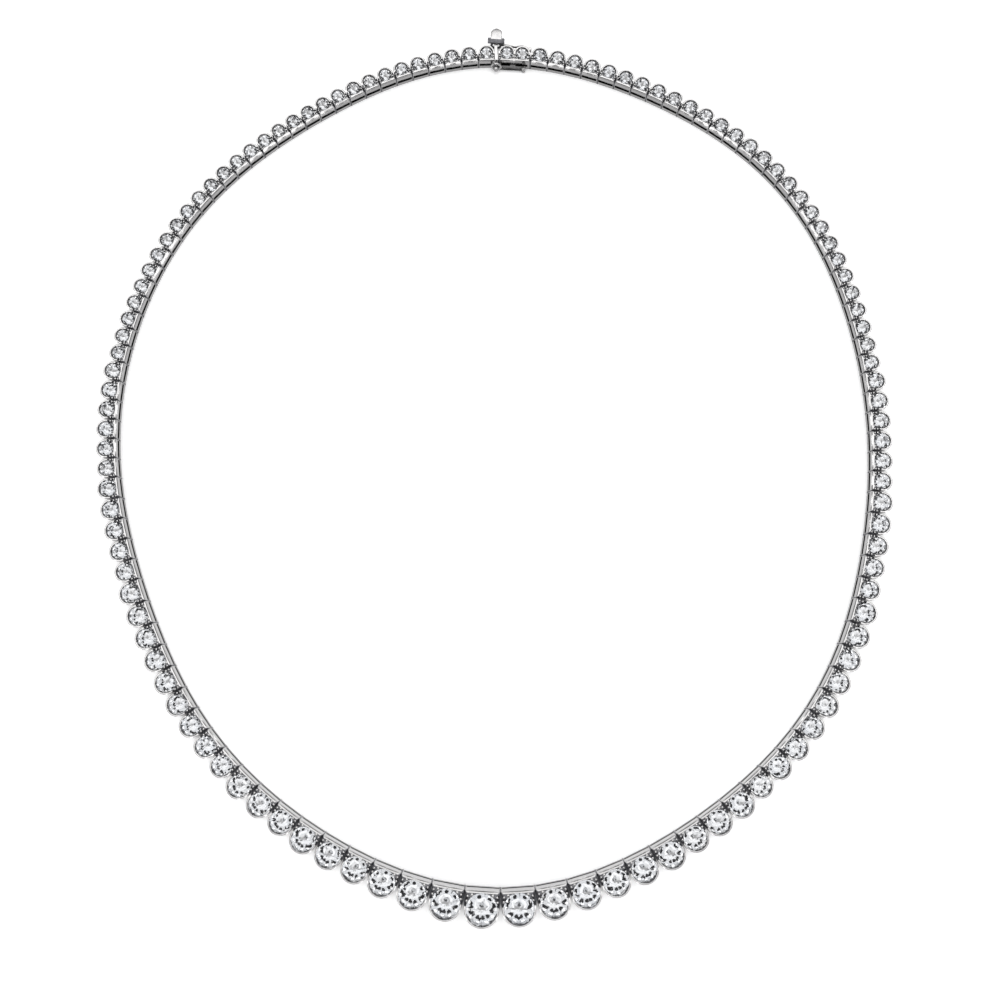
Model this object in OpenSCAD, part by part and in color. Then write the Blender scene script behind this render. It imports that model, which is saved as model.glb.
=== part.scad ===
// Graduated riviere necklace of round brilliants in hinged collet links, with a box clasp.
// It lies flat with the tables up. The clasp is at +Y and the largest stone at -Y.

/* [Line of links] */
// Room between neighbouring links at the inner edge
seam_gap = 0.12; // [0.1:0.01:0.16]
// Length of the clasp box, which holds two stones
box_len = 5.7; // [5.65:0.01:5.8]
// Length of the tongue link with its end plate
tongue_len = 3.5; // [3.45:0.01:3.6]
// Single links between the clasp box and the tongue link
link_count = 116; // [116:2:116]

/* [Collet] */
// Width of the straight bar along the inner edge
bar_w = 0.34; // [0.3:0.01:0.4]
// Thickness of the bezel round the stone
bezel_t = 0.22; // [0.2:0.01:0.26]
// Thickness of the collet's walls below the deck
wall_t = 0.3; // [0.26:0.01:0.34]
// Height of the smallest link
small_h = 2.4; // [2.35:0.01:2.5]
// Height of the centre link
large_h = 3.8; // [3.6:0.01:4]
// Thickness of the deck that carries the stone
deck_t = 0.75; // [0.7:0.01:0.8]
// Depth of the sunk corners beside the bar
corner_sink = 0.22; // [0.18:0.01:0.26]
// Depth of the stone's girdle below the rim
girdle_sink = 0.3; // [0.26:0.01:0.32]
// Radius of the larger bead in each corner of the smallest link
bead_r = 0.19; // [0.16:0.01:0.2]

/* [Gallery and hinge] */
// Lower edge of the gallery slot
slot_low = 0.78; // [0.76:0.01:0.8]
// Upper edge of the gallery slot
slot_top = 1.37; // [1.35:0.01:1.39]
// Lower face of the eye that joins two links
eye_low = 0.9; // [0.88:0.01:0.92]
// Thickness of the eye
eye_t = 0.35; // [0.32:0.01:0.37]
// Outer radius of the eye
eye_r = 0.5; // [0.48:0.01:0.52]
// Radius of the hinge pin
pin_r = 0.16; // [0.14:0.01:0.17]
// Room between the pin and the eye's hole
pin_room = 0.11; // [0.1:0.01:0.13]

/* [Stone] */
// Table width as a share of the stone's width
table_share = 0.56; // [0.53:0.01:0.6]
// Pavilion depth as a share of the stone's width
pavilion_share = 0.43; // [0.42:0.005:0.44]
// Crown angle
crown_angle = 34.5; // [33:0.5:35]
// Girdle thickness
girdle_t = 0.06; // [0.05:0.01:0.07]
// Room between a stone and its seat
stone_room = 0.03; // [0.02:0.01:0.04]

/* [Clasp] */
// Radius of the wire ring at the free end of each safety catch, to the wire's middle
ring_r = 0.83; // [0.82:0.01:0.85]
// Thickness of that ring across its plane
ring_t = 0.4; // [0.36:0.01:0.42]
// Radius of the inner ball stud
ball_r = 0.5; // [0.46:0.01:0.52]
// Length of the thumb tab
tab_len = 1.9; // [1.6:0.1:2.1]
// Width of the thumb tab
tab_w = 2.05; // [1.8:0.05:2.1]

/* [Hidden] */
$fn = 48;
platinum = [0.86, 0.87, 0.89];
diamond = [0.93, 0.96, 1.0];

// Where the loop's own centre stands from the middle of the whole piece.
loop_centre = [0.68, 0.26];

// Size groups of the links, counted from the centre link to either side.
// from: first link of the group; pitch: length of each link along the inner edge
FROM = 0;
PITCH = 1;
size_groups = [[0, 5.6], [1, 5.35], [2, 5.05], [3, 4.8], [4, 4.6], [7, 4.33], [10, 4],
               [15, 3.92], [19, 3.58], [24, 3.34], [30, 3.06]];
// Share by which the right half's links are longer, and the left half's shorter, than their group.
side_share = 0.015;

// Shape of the lying loop: waves round a circle.
// waves: how many fit round the loop; rise: per cent of the mean radius; crest: first crest's turn
WAVES = 0;
RISE = 1;
CREST = 2;
loop_waves = [[2, 4.9, -1], [3, 1.4, 50], [4, 0.5, 15], [5, 0.35, -13], [6, 0.5, -3], [8, 0.35, -2]];

// The loop's inner edge, by turn clockwise from the clasp, for a mean radius of 1.
function reach(turn) = 1 + total([for (w = loop_waves) w[RISE] / 100 * cos(w[WAVES] * (turn - w[CREST]))]);
function total(v, i = 0) = i < len(v) ? v[i] + total(v, i + 1) : 0;
function on_unit_loop(turn) = reach(turn) * [sin(turn), cos(turn)];
turn_step = 1;
unit_run = [for (turn = 0, run = 0;
                 turn <= 360;
                 run = run + norm(on_unit_loop(turn + turn_step) - on_unit_loop(turn)), turn = turn + turn_step)
            [run, turn]];

// Lengths of all members, clockwise: clasp box, single links, tongue link.
last_link = link_count;
tongue = link_count + 1;
centre_link = link_count / 2;
box_member = 0;
function size_rank(n) = abs(n - centre_link);
function group_pitches(rank) = [for (g = size_groups) if (g[FROM] <= rank) g[PITCH]];
function last_of(v) = v[len(v) - 1];
small_pitch = last_of(size_groups)[PITCH];
large_pitch = size_groups[0][PITCH];
function size_pitch(n) = last_of(group_pitches(size_rank(n)));
function side_of(n) = sign(centre_link - n);
function pitch(n) = n == box_member ? box_len
                  : n == tongue ? tongue_len
                  : size_pitch(n) * (1 + side_share * side_of(n));
pitches = [for (n = [0 : tongue]) pitch(n)];
loop_len = total(pitches);
mean_r = loop_len / last_of(unit_run)[0];
seam_runs = [for (n = 0, run = 0; n <= tongue + 1; run = run + (n <= tongue ? pitches[n] : 0), n = n + 1) run];
function seam_point(run) = loop_centre + mean_r * on_unit_loop(lookup(run / mean_r, unit_run));
seams = [for (run = seam_runs) seam_point(run)];

// Place and heading of each member: x along its chord, clockwise, and y away from the loop.
function middle(n) = (seams[n] + seams[n + 1]) / 2;
function heading(n) = let (d = seams[n + 1] - seams[n]) atan2(d[1], d[0]);
function placed(n, p) = let (a = heading(n))
    middle(n) + [p[0] * cos(a) - p[1] * sin(a), p[0] * sin(a) + p[1] * cos(a)];
module at_member(n) {
  translate([middle(n)[0], middle(n)[1], 0])
    rotate(heading(n))
      children();
}

// Sizes that follow from a member's pitch.
function body_w(n) = norm(seams[n + 1] - seams[n]) - seam_gap;
function link_h(n) = small_h + (large_h - small_h) * (size_pitch(n) - small_pitch) / (large_pitch - small_pitch);
function size_share(n) = n == box_member || n == tongue ? 1 : size_pitch(n) / small_pitch;
function outer_r(n) = n == box_member ? body_w(n) / 4 + bezel_overlap
                    : n == tongue ? (body_w(n) - end_plate_t) / 2
                    : body_w(n) / 2;
function stone_r(n) = outer_r(n) - bezel_t;
function stone_y(n) = bar_w + stone_r(n);
function member_h(n) = n == box_member || n == tongue ? small_h : link_h(n);
function girdle_z(n) = member_h(n) - girdle_sink;
function deck_low(n) = member_h(n) - deck_t;

// Room that keeps faces from falling together, depth by which joined pieces run into each
// other, and length by which a cutting shape runs past the face that it cuts.
eps = 0.01;
weld = 0.02;
over = 1;

// Numbers of the collet's small features.
lip = 0.08;
corner_end_share = 0.82;
lower_half_share = 0.24;
bead_angles = [36, 62];
bead_shares = [1, 0.8];
shelf_low = 0.12;
shelf_top = 0.62;
shelf_w = 1.15;
shelf_depth = 1.55;
pin_x = 0.6;
pin_y = 1.02;
neck_w = 0.76;
door_low_y = 0.42;
door_top_y = 1.62;
slot_margin = 0.36;

// Numbers of the clasp's small features.
end_plate_t = 0.5;
plate_len = 2.85;
bezel_overlap = 0.04;
box_floor = 0.25;
box_slots = [[-2.43, -0.65], [0.25, 2.43]];
mouth_low_y = 0.5;
mouth_top_y = 2.4;
mouth_top = 0.98;
mouth_depth = 0.75;
tongue_y = 1.45;
tongue_w = 1.1;
tongue_low = 0.36;
tongue_h = 0.5;
tongue_reach = 1.95;
leaf_t = 0.15;
rivet_x = -1.6;
rivet_z = 1.95;
rivet_r = 0.24;
rivet_rise = 0.06;
stud_z = 1.2;
stud_neck_r = 0.2;
outer_ball_r = 0.44;
inner_plane = -0.52;
outer_plane = 3.55;
knuckle_r = 0.32;
catch_pin_r = 0.14;
catch_pin_room = 0.06;
hinge_room = 0.12;
ear_t = 0.2;
ear_span = 1.05;
inner_ears_low = 0.12;
outer_ears_low = 0.95;
outer_hinge_angle = 45;
strip_t = 0.26;
strip_dip = 0.25;
strip_h = 0.42;
strip_start = 0.26;
strip_end_share = 0.85;
tab_t = 0.3;
tab_base_w = 3;
tab_base_d = 1.0;
tab_inset = 0.15;
tab_sink = 0.17;

// Plan outline of a collet: straight inner bar and sides, round outer edge.
module collet_outline(w, r, y) {
  union() {
    translate([-w / 2, 0])
      square([w, y]);
    translate([0, y])
      circle(r = r);
  }
}

// Room for a stone: cone for the pavilion, wall for the girdle, and a rim that leans over the crown.
module stone_seat(n) {
  r = stone_r(n) + stone_room;
  girdle = girdle_z(n);
  low = deck_low(n) - eps;
  top = member_h(n) + eps;
  low_r = r - (girdle - low) / (2 * pavilion_share);
  lip_low = girdle + girdle_t + stone_room;
  rotate_extrude()
    polygon([[0, low], [low_r, low], [r, girdle], [r, lip_low], [r - lip, top], [0, top]]);
}

// Sunk floor between the bar and the bezel, over the width w.
module corner_floor(n, w) {
  translate([-w / 2 - over, bar_w, member_h(n) - corner_sink])
    cube([w + 2 * over, stone_y(n) * corner_end_share - bar_w, corner_sink + over]);
}

// Beads that hold the stone in its two inner corners.
module corner_beads(n) {
  for (side = [-1, 1])
    for (i = [0 : len(bead_angles) - 1]) {
      r = bead_r * bead_shares[i] * sqrt(size_share(n));
      away = stone_r(n) + r;
      translate([side * away * sin(bead_angles[i]), stone_y(n) - away * cos(bead_angles[i]),
                 member_h(n) - corner_sink])
        sphere(r = r);
    }
}

// Shelf and pin that the neighbour's eye turns on, at the end x = -w / 2.
module hinge_pin(n, w) {
  translate([-w / 2 + wall_t / 2, wall_t / 2, shelf_low])
    cube([shelf_w - wall_t / 2, shelf_depth, shelf_top - shelf_low]);
  translate([-w / 2 + pin_x, pin_y, shelf_low])
    cylinder(r = pin_r, h = deck_low(n) + weld - shelf_low);
}

module hinge_doorway(w) {
  translate([-w / 2 - over, door_low_y, slot_low])
    cube([over + wall_t + eps, door_top_y - door_low_y, slot_top - slot_low]);
}

// Eye of member n on the pin of the next member, worked out in the plan of the whole loop.
module hinge_eye(n) {
  next = n + 1;
  root = placed(n, [body_w(n) / 2 - wall_t / 2, pin_y]);
  pin = placed(next, [-body_w(next) / 2 + pin_x, pin_y]);
  run = pin - root;
  translate([0, 0, eye_low])
    linear_extrude(eye_t)
      difference() {
        union() {
          translate(root)
            rotate(atan2(run[1], run[0]))
              translate([0, -neck_w / 2])
                square([norm(run), neck_w]);
          translate(pin)
            circle(r = eye_r);
        }
        translate(pin)
          circle(r = pin_r + pin_room);
      }
}

// One hollow collet link.
module collet(n) {
  r = outer_r(n);
  w = 2 * r;
  y = stone_y(n);
  h = member_h(n);
  difference() {
    linear_extrude(h)
      collet_outline(w, r, y);
    translate([0, 0, -eps])
      linear_extrude(deck_low(n) + eps)
        union() {
          translate([-w / 2 + wall_t, wall_t])
            square([w - 2 * wall_t, y - wall_t]);
          translate([0, y])
            circle(r = r - wall_t);
        }
    translate([-w / 2 + slot_margin, -over, slot_low])
      cube([w - 2 * slot_margin, over + wall_t + eps, slot_top - slot_low]);
    hinge_doorway(w);
    corner_floor(n, w);
    translate([0, y, 0])
      stone_seat(n);
  }
  corner_beads(n);
  hinge_pin(n, w);
}

module link(n) {
  at_member(n)
    collet(n);
  hinge_eye(n);
}

module links(first, last) {
  color(platinum)
    for (n = [first : last])
      link(n);
}

module links_right() {
  links(1, centre_link);
}

module links_left() {
  links(centre_link + 1, last_link);
}

// Round brilliant, girdle's lower edge at z = 0: table, stars, kites, upper and lower halves, mains.
module brilliant(r) {
  table_r = table_share * r;
  star_r = (1 + table_share * cos(22.5)) / 2 * r;
  low_r = lower_half_share * r;
  top = girdle_t + (r - table_r) * tan(crown_angle);
  star_z = top - (star_r * cos(22.5) - table_r) * tan(crown_angle);
  depth = pavilion_share * 2 * r;
  low_z = -depth * (1 - low_r * cos(22.5) / r);
  rings = concat(
    [for (i = [0 : 7]) [table_r * cos(45 * i + 22.5), table_r * sin(45 * i + 22.5), top]],
    [for (i = [0 : 7]) [star_r * cos(45 * i), star_r * sin(45 * i), star_z]],
    [for (i = [0 : 15]) [r * cos(22.5 * i), r * sin(22.5 * i), girdle_t]],
    [for (i = [0 : 15]) [r * cos(22.5 * i), r * sin(22.5 * i), 0]],
    [for (i = [0 : 7]) [low_r * cos(45 * i), low_r * sin(45 * i), low_z]],
    [[0, 0, -depth]]);
  table = 0;
  star = 8;
  upper = 16;
  lower = 32;
  low = 48;
  culet = 56;
  faces = concat(
    [[for (i = [7 : -1 : 0]) table + i]],
    [for (i = [0 : 7]) [table + (i + 7) % 8, table + i, star + i]],
    [for (i = [0 : 7]) [table + i, star + (i + 1) % 8, upper + 2 * i + 1, star + i]],
    [for (i = [0 : 7]) [star + i, upper + 2 * i + 1, upper + 2 * i]],
    [for (i = [0 : 7]) [star + i, upper + 2 * i, upper + (2 * i + 15) % 16]],
    [for (i = [0 : 15]) [upper + i, upper + (i + 1) % 16, lower + (i + 1) % 16, lower + i]],
    [for (i = [0 : 7]) [lower + 2 * i, lower + 2 * i + 1, low + i]],
    [for (i = [0 : 7]) [lower + (2 * i + 15) % 16, lower + 2 * i, low + i]],
    [for (i = [0 : 7]) [culet, low + i, lower + 2 * i + 1, low + (i + 1) % 8]]);
  polyhedron(points = rings, faces = faces);
}

module stone(n, x = 0) {
  at_member(n)
    translate([x, stone_y(n), girdle_z(n)])
      brilliant(stone_r(n));
}

module stones(first, last) {
  color(diamond)
    for (n = [first : last])
      stone(n);
}

module stones_right() {
  stones(1, centre_link);
}

module stones_left() {
  stones(centre_link + 1, last_link);
}

module clasp_stones() {
  color(diamond) {
    for (side = [-1, 1])
      stone(box_member, side * box_stone_x);
    stone(tongue, tongue_stone_x);
  }
}

// Clasp, in the box's own frame: x along its chord, y away from the loop.
box_w = body_w(box_member);
box_stone_x = box_w / 2 - outer_r(box_member);
tongue_stone_x = -end_plate_t / 2;
plate_x = body_w(tongue) / 2 - end_plate_t / 2;
function within(n, p) = let (a = heading(n), d = p - middle(n))
    [d[0] * cos(a) + d[1] * sin(a), d[1] * cos(a) - d[0] * sin(a)];
inner_stud = within(box_member, placed(tongue, [plate_x, 0]));
outer_stud = within(box_member, placed(tongue, [plate_x, plate_len]));
inner_hinge = [1.75, inner_plane];
outer_hinge = [box_stone_x, stone_y(box_member)]
            + (outer_r(box_member) + knuckle_r + hinge_room) * [cos(outer_hinge_angle), sin(outer_hinge_angle)];

module box_outline(inset) {
  r = outer_r(box_member) - inset;
  union() {
    translate([-box_w / 2 + inset, inset])
      square([box_w - 2 * inset, stone_y(box_member) - inset]);
    for (side = [-1, 1])
      translate([side * box_stone_x, stone_y(box_member)])
        circle(r = r);
  }
}

// Two ears and the pin between them, which reach out from a wall along the heading a.
module hinge_ears(at, a, low, reach) {
  for (z = [low, low + ear_span - ear_t])
    translate([at[0], at[1], z])
      rotate(a)
        linear_extrude(ear_t)
          union() {
            translate([-reach, -knuckle_r])
              square([reach, 2 * knuckle_r]);
            circle(r = knuckle_r);
          }
  translate([at[0], at[1], low + ear_t / 2])
    cylinder(r = catch_pin_r, h = ear_span - ear_t);
}

module clasp_box() {
  h = member_h(box_member);
  color(platinum) {
    at_member(box_member) {
      difference() {
        linear_extrude(h)
          box_outline(0);
        translate([0, 0, box_floor])
          linear_extrude(deck_low(box_member) - box_floor)
            box_outline(wall_t);
        translate([-box_w / 2 - over, mouth_low_y, box_floor])
          cube([over + mouth_depth, mouth_top_y - mouth_low_y, mouth_top - box_floor]);
        for (span = box_slots)
          translate([span[0], -over, slot_low])
            cube([span[1] - span[0], over + wall_t + eps, slot_top - slot_low]);
        corner_floor(box_member, box_w);
        for (side = [-1, 1])
          translate([side * box_stone_x, stone_y(box_member), 0])
            stone_seat(box_member);
      }
      for (side = [-1, 1])
        translate([side * box_stone_x, 0, 0])
          corner_beads(box_member);
      translate([rivet_x, wall_t / 2, rivet_z])
        rotate([90, 0, 0])
          cylinder(r = rivet_r, h = wall_t / 2 + rivet_rise);
      hinge_ears(inner_hinge, -90, inner_ears_low, -inner_plane + wall_t / 2);
      hinge_ears(outer_hinge, outer_hinge_angle, outer_ears_low, knuckle_r + hinge_room + wall_t / 2);
    }
    hinge_eye(box_member);
  }
}

// Folded spring tongue: two leaves joined by a round fold at the far end.
module folded_tongue() {
  fold_r = tongue_h / 2;
  translate([body_w(tongue) / 2 - eps, tongue_y + tongue_w / 2, tongue_low + fold_r])
    rotate([90, 0, 0])
      linear_extrude(tongue_w)
        difference() {
          union() {
            translate([0, -fold_r])
              square([tongue_reach, 2 * fold_r]);
            translate([tongue_reach, 0])
              circle(r = fold_r);
          }
          translate([leaf_t, -fold_r + leaf_t])
            square([tongue_reach - leaf_t, 2 * (fold_r - leaf_t)]);
          translate([tongue_reach, 0])
            circle(r = fold_r - leaf_t);
        }
}

// Neck and ball that a catch's ring snaps over; way is -1 for the inner side, 1 for the outer side.
module ball_stud(at, way, neck, r) {
  translate([at[0], at[1], stud_z])
    rotate([-90 * way, 0, 0]) {
      translate([0, 0, -end_plate_t])
        cylinder(r = stud_neck_r, h = neck + end_plate_t);
      translate([0, 0, neck])
        sphere(r = r);
    }
}

module tongue_link() {
  color(platinum) {
    at_member(tongue) {
      translate([tongue_stone_x, 0, 0])
        collet(tongue);
      translate([body_w(tongue) / 2 - end_plate_t - weld, 0, 0])
        cube([end_plate_t + weld, plate_len, member_h(tongue)]);
      folded_tongue();
    }
    at_member(box_member) {
      ball_stud(inner_stud, -1, -inner_plane + ball_r, ball_r);
      ball_stud(outer_stud, 1, outer_plane - outer_stud[1] + outer_ball_r, outer_ball_r);
    }
  }
}

// Wire ring that stands upright in the plane y = at[1].
module catch_ring(at) {
  translate([at[0], at[1], stud_z])
    rotate([90, 0, 0])
      rotate_extrude()
        translate([ring_r, 0])
          circle(r = ring_t / 2);
}

module catch_knuckle(at, low) {
  translate([at[0], at[1], low + ear_t + hinge_room / 2])
    difference() {
      cylinder(r = knuckle_r, h = ear_span - 2 * ear_t - hinge_room);
      translate([0, 0, -over])
        cylinder(r = catch_pin_r + catch_pin_room, h = ear_span + 2 * over);
    }
}

// Left normal of a path's leg i, and the path moved sideways by d with mitred corners.
function leg_normal(path, i) = let (run = path[i + 1] - path[i]) [-run[1], run[0]] / norm(run);
function corner_shift(a, b) = (a + b) / (1 + a * b);
function beside(path, d) = let (last = len(path) - 1)
    [for (i = [0 : last]) path[i] + d * corner_shift(leg_normal(path, max(i - 1, 0)), leg_normal(path, min(i, last - 1)))];

// Upright strip along a plan path, from the height low.
module strip(path, low, height) {
  far_side = beside(path, -strip_t / 2);
  translate([0, 0, low])
    linear_extrude(height)
      polygon(concat(beside(path, strip_t / 2), [for (i = [len(path) - 1 : -1 : 0]) far_side[i]]));
}

module inner_catch() {
  low = inner_ears_low + ear_t + hinge_room;
  color(platinum)
    at_member(box_member) {
      ring_at = [inner_stud[0], inner_plane];
      catch_ring(ring_at);
      catch_knuckle(inner_hinge, inner_ears_low);
      strip([inner_hinge - [strip_start, 0], ring_at + [ring_r * strip_end_share, 0]], low, strip_h);
    }
}

// Thumb tab with its base plate, from the ring outwards.
module thumb_tab() {
  straight_len = tab_base_d + tab_len - tab_w / 2;
  linear_extrude(tab_t)
    union() {
      translate([-tab_base_w / 2, 0])
        square([tab_base_w, tab_base_d]);
      translate([-tab_w / 2, 0])
        square([tab_w, straight_len]);
      translate([0, straight_len])
        circle(r = tab_w / 2);
    }
}

module outer_catch() {
  low = outer_ears_low + ear_t + hinge_room;
  ring_at = [outer_stud[0], outer_plane];
  bend = [cos(outer_hinge_angle + 90), sin(outer_hinge_angle + 90)];
  path = [outer_hinge + strip_start * bend, [box_stone_x, outer_plane], [0, outer_plane - strip_dip],
          [-box_stone_x, outer_plane], ring_at + [ring_r * strip_end_share, 0]];
  color(platinum)
    at_member(box_member) {
      catch_ring(ring_at);
      catch_knuckle(outer_hinge, outer_ears_low);
      strip(path, low, strip_h);
      translate([ring_at[0], ring_at[1] - tab_inset, stud_z + ring_r - tab_sink])
        thumb_tab();
    }
}

links_right();
links_left();
stones_right();
stones_left();
clasp_box();
clasp_stones();
tongue_link();
outer_catch();
inner_catch();
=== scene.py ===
"""Looks of a graduated riviere necklace that lies flat with its stones up.

The line is a closed loop of hollow collet links, each with one round brilliant, that ends in a box
clasp with a folded tongue and two safety catches. Sizes are in millimetres, and every mesh is
written to the scene in metres. In a link's own frame, x runs along the link clockwise round the
loop, y points away from the loop, and z is up.
"""

import logging
import math
import random
from dataclasses import dataclass, field
from enum import Enum

import bmesh
import bpy
import numpy as np
from mathutils import Matrix, Vector


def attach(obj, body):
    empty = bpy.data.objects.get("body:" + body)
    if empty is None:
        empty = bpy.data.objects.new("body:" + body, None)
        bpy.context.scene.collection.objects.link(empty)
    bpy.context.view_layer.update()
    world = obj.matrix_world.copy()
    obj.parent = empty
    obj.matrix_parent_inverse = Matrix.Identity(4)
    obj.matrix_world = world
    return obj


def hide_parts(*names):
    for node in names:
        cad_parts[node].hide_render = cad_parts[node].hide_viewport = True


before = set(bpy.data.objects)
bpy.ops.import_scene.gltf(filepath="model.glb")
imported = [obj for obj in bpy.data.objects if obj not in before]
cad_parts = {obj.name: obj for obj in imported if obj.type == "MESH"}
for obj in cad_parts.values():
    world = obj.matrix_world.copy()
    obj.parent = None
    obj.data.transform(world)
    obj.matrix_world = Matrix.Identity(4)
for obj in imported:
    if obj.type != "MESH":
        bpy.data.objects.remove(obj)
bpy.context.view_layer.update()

MM = 0.001  # metres in a millimetre
SOFT = 0.03  # rounding of a small edge, in millimetres
COLLET_SHARP = 14.0  # degrees from which an edge of a collet stays sharp
LOG = logging.getLogger("riviere")

Point = tuple[float, float, float]
Outline = list[tuple[float, float]]
Section = list[tuple[float, float]]
Surface = tuple[list[Point], list[list[int]]]


class MemberKind(Enum):
    """What stands at one place of the loop."""

    BOX = "box"
    LINK = "link"
    TONGUE = "tongue"


class Zone(Enum):
    """How a collet's wall ends at the top, seen from the stone's middle."""

    BAR = "bar"
    CORNER = "corner"
    BEZEL = "bezel"


class Face(Enum):
    """A flat side of a collet that can be pierced."""

    FRONT = "front"
    LEFT = "left"


class CatchSide(Enum):
    """Side of the line that a safety catch lies on."""

    INNER = "inner"
    OUTER = "outer"


class Cut(Enum):
    """Depth of a brilliant's pavilion, as a share of the girdle's radius."""

    LARGE = 0.82
    SMALL = 0.86


class LampShape(Enum):
    """Outline of a softbox, and the share of its rectangle that shines."""

    ELLIPSE = math.pi / 4
    RECTANGLE = 1.0


class Finish(Enum):
    """Material slot of a collet's face: polished, filed and darkened with painted shade, or near-black
    painted shade.
    """

    POLISHED = 0
    # Filed metal, darkened with painted shade.
    RAW = 1
    # Near-black painted shade.
    HOLLOW = 2


def linear(colour: str) -> tuple[float, float, float, float]:
    """Turns an sRGB hex colour to a linear one.

    Args:
        colour: Six hex digits after a #.

    Returns:
        Red, green, blue and an alpha of 1.
    """
    shares = [int(colour[i : i + 2], 16) / 255 for i in (1, 3, 5)]
    return (*(c / 12.92 if c <= 0.04045 else ((c + 0.055) / 1.055) ** 2.4 for c in shares), 1.0)


def add_node(
    tree: bpy.types.NodeTree,
    kind: str,
    settings: dict[str | int, object] | None = None,
    links: dict[str | int, bpy.types.NodeSocket] | None = None,
) -> bpy.types.Node:
    """Adds a node, sets its sockets or properties and links its inputs.

    Args:
        tree: The tree that gets the node.
        kind: The node's type name.
        settings: Input name or number, or property name, to value.
        links: Input name or number to the output that feeds it.

    Returns:
        The new node.
    """
    node = tree.nodes.new(kind)
    for name, value in (settings or {}).items():
        if isinstance(name, int) or name in node.inputs:
            node.inputs[name].default_value = value
        else:
            setattr(node, name, value)
    for name, output in (links or {}).items():
        tree.links.new(output, node.inputs[name])
    return node


def new_material(name: str) -> tuple[bpy.types.Material, bpy.types.NodeTree]:
    """Makes an empty node material.

    Args:
        name: The material's name.

    Returns:
        The material and its node tree.
    """
    material = bpy.data.materials.new(name)
    material.use_nodes = True
    material.node_tree.nodes.clear()
    return material, material.node_tree


def link_object(name: str, data: bpy.types.ID) -> bpy.types.Object:
    """Makes an object of a mesh, light or camera and links it to the scene.

    Args:
        name: Name of the object.
        data: The mesh, light or camera.

    Returns:
        The object.
    """
    thing = bpy.data.objects.new(name, data)
    bpy.context.scene.collection.objects.link(thing)
    return thing


def on_circle(radius: float, angle: float) -> tuple[float, float]:
    """The point at an angle, in radians, on a circle about the origin."""
    return radius * math.cos(angle), radius * math.sin(angle)


@dataclass(frozen=True)
class SizeGroup:
    """Links of one size, counted from the centre link to either side."""

    first: int
    pitch: float


@dataclass(frozen=True)
class LoopWave:
    """One wave of the lying loop's outline round a circle."""

    waves: int
    rise: float
    crest: float


@dataclass(frozen=True)
class Member:
    """One piece of the line: where it stands and the sizes that follow from its length."""

    number: int
    kind: MemberKind
    start: tuple[float, float]
    end: tuple[float, float]
    size_share: float
    height: float
    fan: tuple[float, float] = (0.0, 0.0)
    seam_gap: float = 0.12
    bar_width: float = 0.34
    bezel_width: float = 0.22
    end_plate: float = 0.5
    box_overlap: float = 0.04

    @property
    def width(self) -> float:
        """Length of the body along the inner edge."""
        return math.dist(self.start, self.end) - self.seam_gap

    @property
    def heading(self) -> float:
        """Angle of the x axis in the plan, in radians."""
        return math.atan2(self.end[1] - self.start[1], self.end[0] - self.start[0])

    @property
    def outer_radius(self) -> float:
        """Radius of a collet's round outer edge."""
        if self.kind is MemberKind.BOX:
            return self.width / 4 + self.box_overlap
        if self.kind is MemberKind.TONGUE:
            return (self.width - self.end_plate) / 2
        return self.width / 2

    @property
    def stone_radius(self) -> float:
        """Radius of a stone's girdle."""
        return self.outer_radius - self.bezel_width

    @property
    def stone_y(self) -> float:
        """Distance of a stone's middle from the inner edge."""
        return self.bar_width + self.stone_radius

    @property
    def stone_places(self) -> list[float]:
        """The x of each stone's middle."""
        if self.kind is MemberKind.BOX:
            side = self.width / 2 - self.outer_radius
            return [-side, side]
        if self.kind is MemberKind.TONGUE:
            return [-self.end_plate / 2]
        return [0.0]

    def matrix(self) -> Matrix:
        """The member's frame in the necklace's frame, in millimetres."""
        middle = ((self.start[0] + self.end[0]) / 2, (self.start[1] + self.end[1]) / 2, 0.0)
        return Matrix.Translation(middle) @ Matrix.Rotation(self.heading, 4, "Z")


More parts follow.
